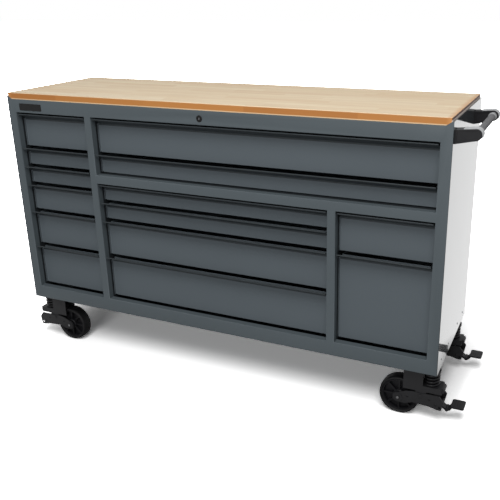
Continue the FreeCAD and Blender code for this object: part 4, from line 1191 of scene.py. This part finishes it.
lock_low, lock_high, lock_centre = box_of("lock_barrel")
lock_radius = (lock_high.x - lock_low.x) / 2
lock_face, lock_depth = lock_low.y, lock_high.y - lock_low.y
lock_outline = [(0.0, 0.0008), (0.0062, 0.0008), (0.0064, 0.0014), (0.0078, 0.0014), (0.0080, 0.0),
                (lock_radius - 0.0008, 0.0), (lock_radius, 0.0008), (lock_radius, 0.0015),
                (LOCK_SHANK, 0.0017), (LOCK_SHANK, lock_depth), (0.0, lock_depth)]
barrel = turned(lock_outline, (lock_centre.x, lock_face, lock_centre.z), "Y", 48, closed=False)
piece("lock_turned", outward_mesh("lock", barrel), lock_black, "lock",
      ["lock_barrel"])
key_outline = [(lock_centre.x + across * KEY_HALF_WIDTH, lock_centre.z + up * KEY_HALF_HEIGHT)
               for across, up in ((-1, -1), (1, -1), (1, 1), (-1, 1))]
key_guard = outward_mesh("slot", sweep(key_outline, "Y", lock_face + KEY_FROM, lock_face + KEY_TO))
piece("lock_key_guard", key_guard, slide_zinc, "lock")
plate = sweep(rounded_rectangle(PLATE_LOW, PLATE_HIGH, PLATE_CORNER, 3), "Y",
              frame_low.y - PLATE_SHEET, frame_low.y)
piece("blank_plate", outward_mesh("plate", plate), lock_black, "cabinet")
print("lock radius", round(lock_radius, 4))

# %% [markdown]
# ## Rivets and nuts
# Fasteners are the clearest case for a tree that sets one item on many points: change the item or
# the points, and every copy follows. Round heads sit on the side panels and on the casters' cheeks,
# and zinc nuts on the wheels' axles.

# %% Heads on points
HEAD_SINK = 0.0003


def head_mesh(radius, rise, axis, sign, sides=16):
    """Low domed head that stands out along an axis from the origin."""
    outline = [(0.0, sign * rise), (radius * 0.55, sign * rise), (radius * 0.9, sign * rise * 0.6),
               (radius, sign * rise * 0.15), (radius, -sign * HEAD_SINK), (0.0, -sign * HEAD_SINK)]
    return outward_mesh("head", turned(outline, (0, 0, 0), axis, sides, closed=False), 50)


def on_points(name, points, item_mesh, material, body):
    """One item on each point, as one mesh on a body."""
    item = link(f"{name}_item", item_mesh)
    spots = bpy.data.meshes.new(f"{name}_points")
    spots.from_pydata([tuple(point) for point in points], [], [])
    heads = grown(name, point_tree, spots, Item=item, Material=material)
    bpy.data.objects.remove(item)
    piece(name, heads, material, body)


SIDE_RIVETS = (0.069, 0.196, 0.374, 0.484)
RIVET_UP = 0.034
RIVET_RISE = 0.0016
SIDE_HEAD = 0.0042
for side, sign in (("right", 1), ("left", -1)):
    panel_low, panel_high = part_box(f"{side}_side_panel")
    outer_x = panel_high.x if sign > 0 else panel_low.x
    spots = [(outer_x, frame_low.y + back, frame_low.z + RIVET_UP) for back in SIDE_RIVETS]
    on_points(f"{side}_panel_rivets", spots, head_mesh(SIDE_HEAD, RIVET_RISE, "X", sign),
              side_paint, "cabinet")
print("side rivets", 2 * len(SIDE_RIVETS))

# %% Rivets and axle nuts of the casters
CHEEK = 0.0350
CHEEK_HEAD = 0.0048
CHEEK_RIVETS = ((-0.020, 0.088), (0.062, 0.092), (0.086, 0.074))
NUT_SIDES = 6
NUT_OUTLINE = ((0.0, 0.0012), (0.0045, 0.0012), (0.0056, 0.0002), (0.0056, -0.0035), (0.0, -0.0035))
for name in casters:
    axis_x, axis_y, side = swivel_axis(name)
    wheel_centre = box_of(f"{name}_wheel")[2]
    arm_low, arm_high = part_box(f"{name}_swing_arm")
    for face, way, arm_face in (("front", -1, arm_low.y), ("back", 1, arm_high.y)):
        spots = [(axis_x + side * out, axis_y + way * CHEEK, up) for out, up in CHEEK_RIVETS]
        on_points(f"{name}_arm_rivets_{face}", spots, head_mesh(CHEEK_HEAD, RIVET_RISE, "Y", way),
                  core_black, f"{name}_arm")
        nut = turned([(radius, way * out) for radius, out in NUT_OUTLINE],
                     (wheel_centre.x, arm_face, wheel_centre.z), "Y", NUT_SIDES, closed=False)
        piece(f"{name}_axle_nut_{face}", outward_mesh("nut", nut), axle_zinc, f"{name}_arm")
print("caster rivets", 2 * len(casters) * len(CHEEK_RIVETS), "nuts", 2 * len(casters))

# %% [markdown]
# ## Soft edges
# A cut edge in wood or steel is never quite sharp, and the thin highlight along it is what makes it
# look real. Here the solid's own shape is right, so it stays and gets a small live bevel. Its
# triangles are loose, so a weld comes first.

# %% Soft edges on wood and pressed steel
WOOD_EDGE = 0.0012
STEEL_EDGE = 0.0007
LIVE_WELD = 1e-5
edge_widths = {"worktop": WOOD_EDGE}
for name in casters:
    edge_widths.update({f"{name}_yoke": STEEL_EDGE, f"{name}_swing_arm": STEEL_EDGE})
for node_name, width in edge_widths.items():
    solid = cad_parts[node_name]
    merge = solid.modifiers.new("merge", "WELD")
    merge.merge_threshold = LIVE_WELD
    soften(solid, width, 2, 45)
print("softened", len(edge_widths))
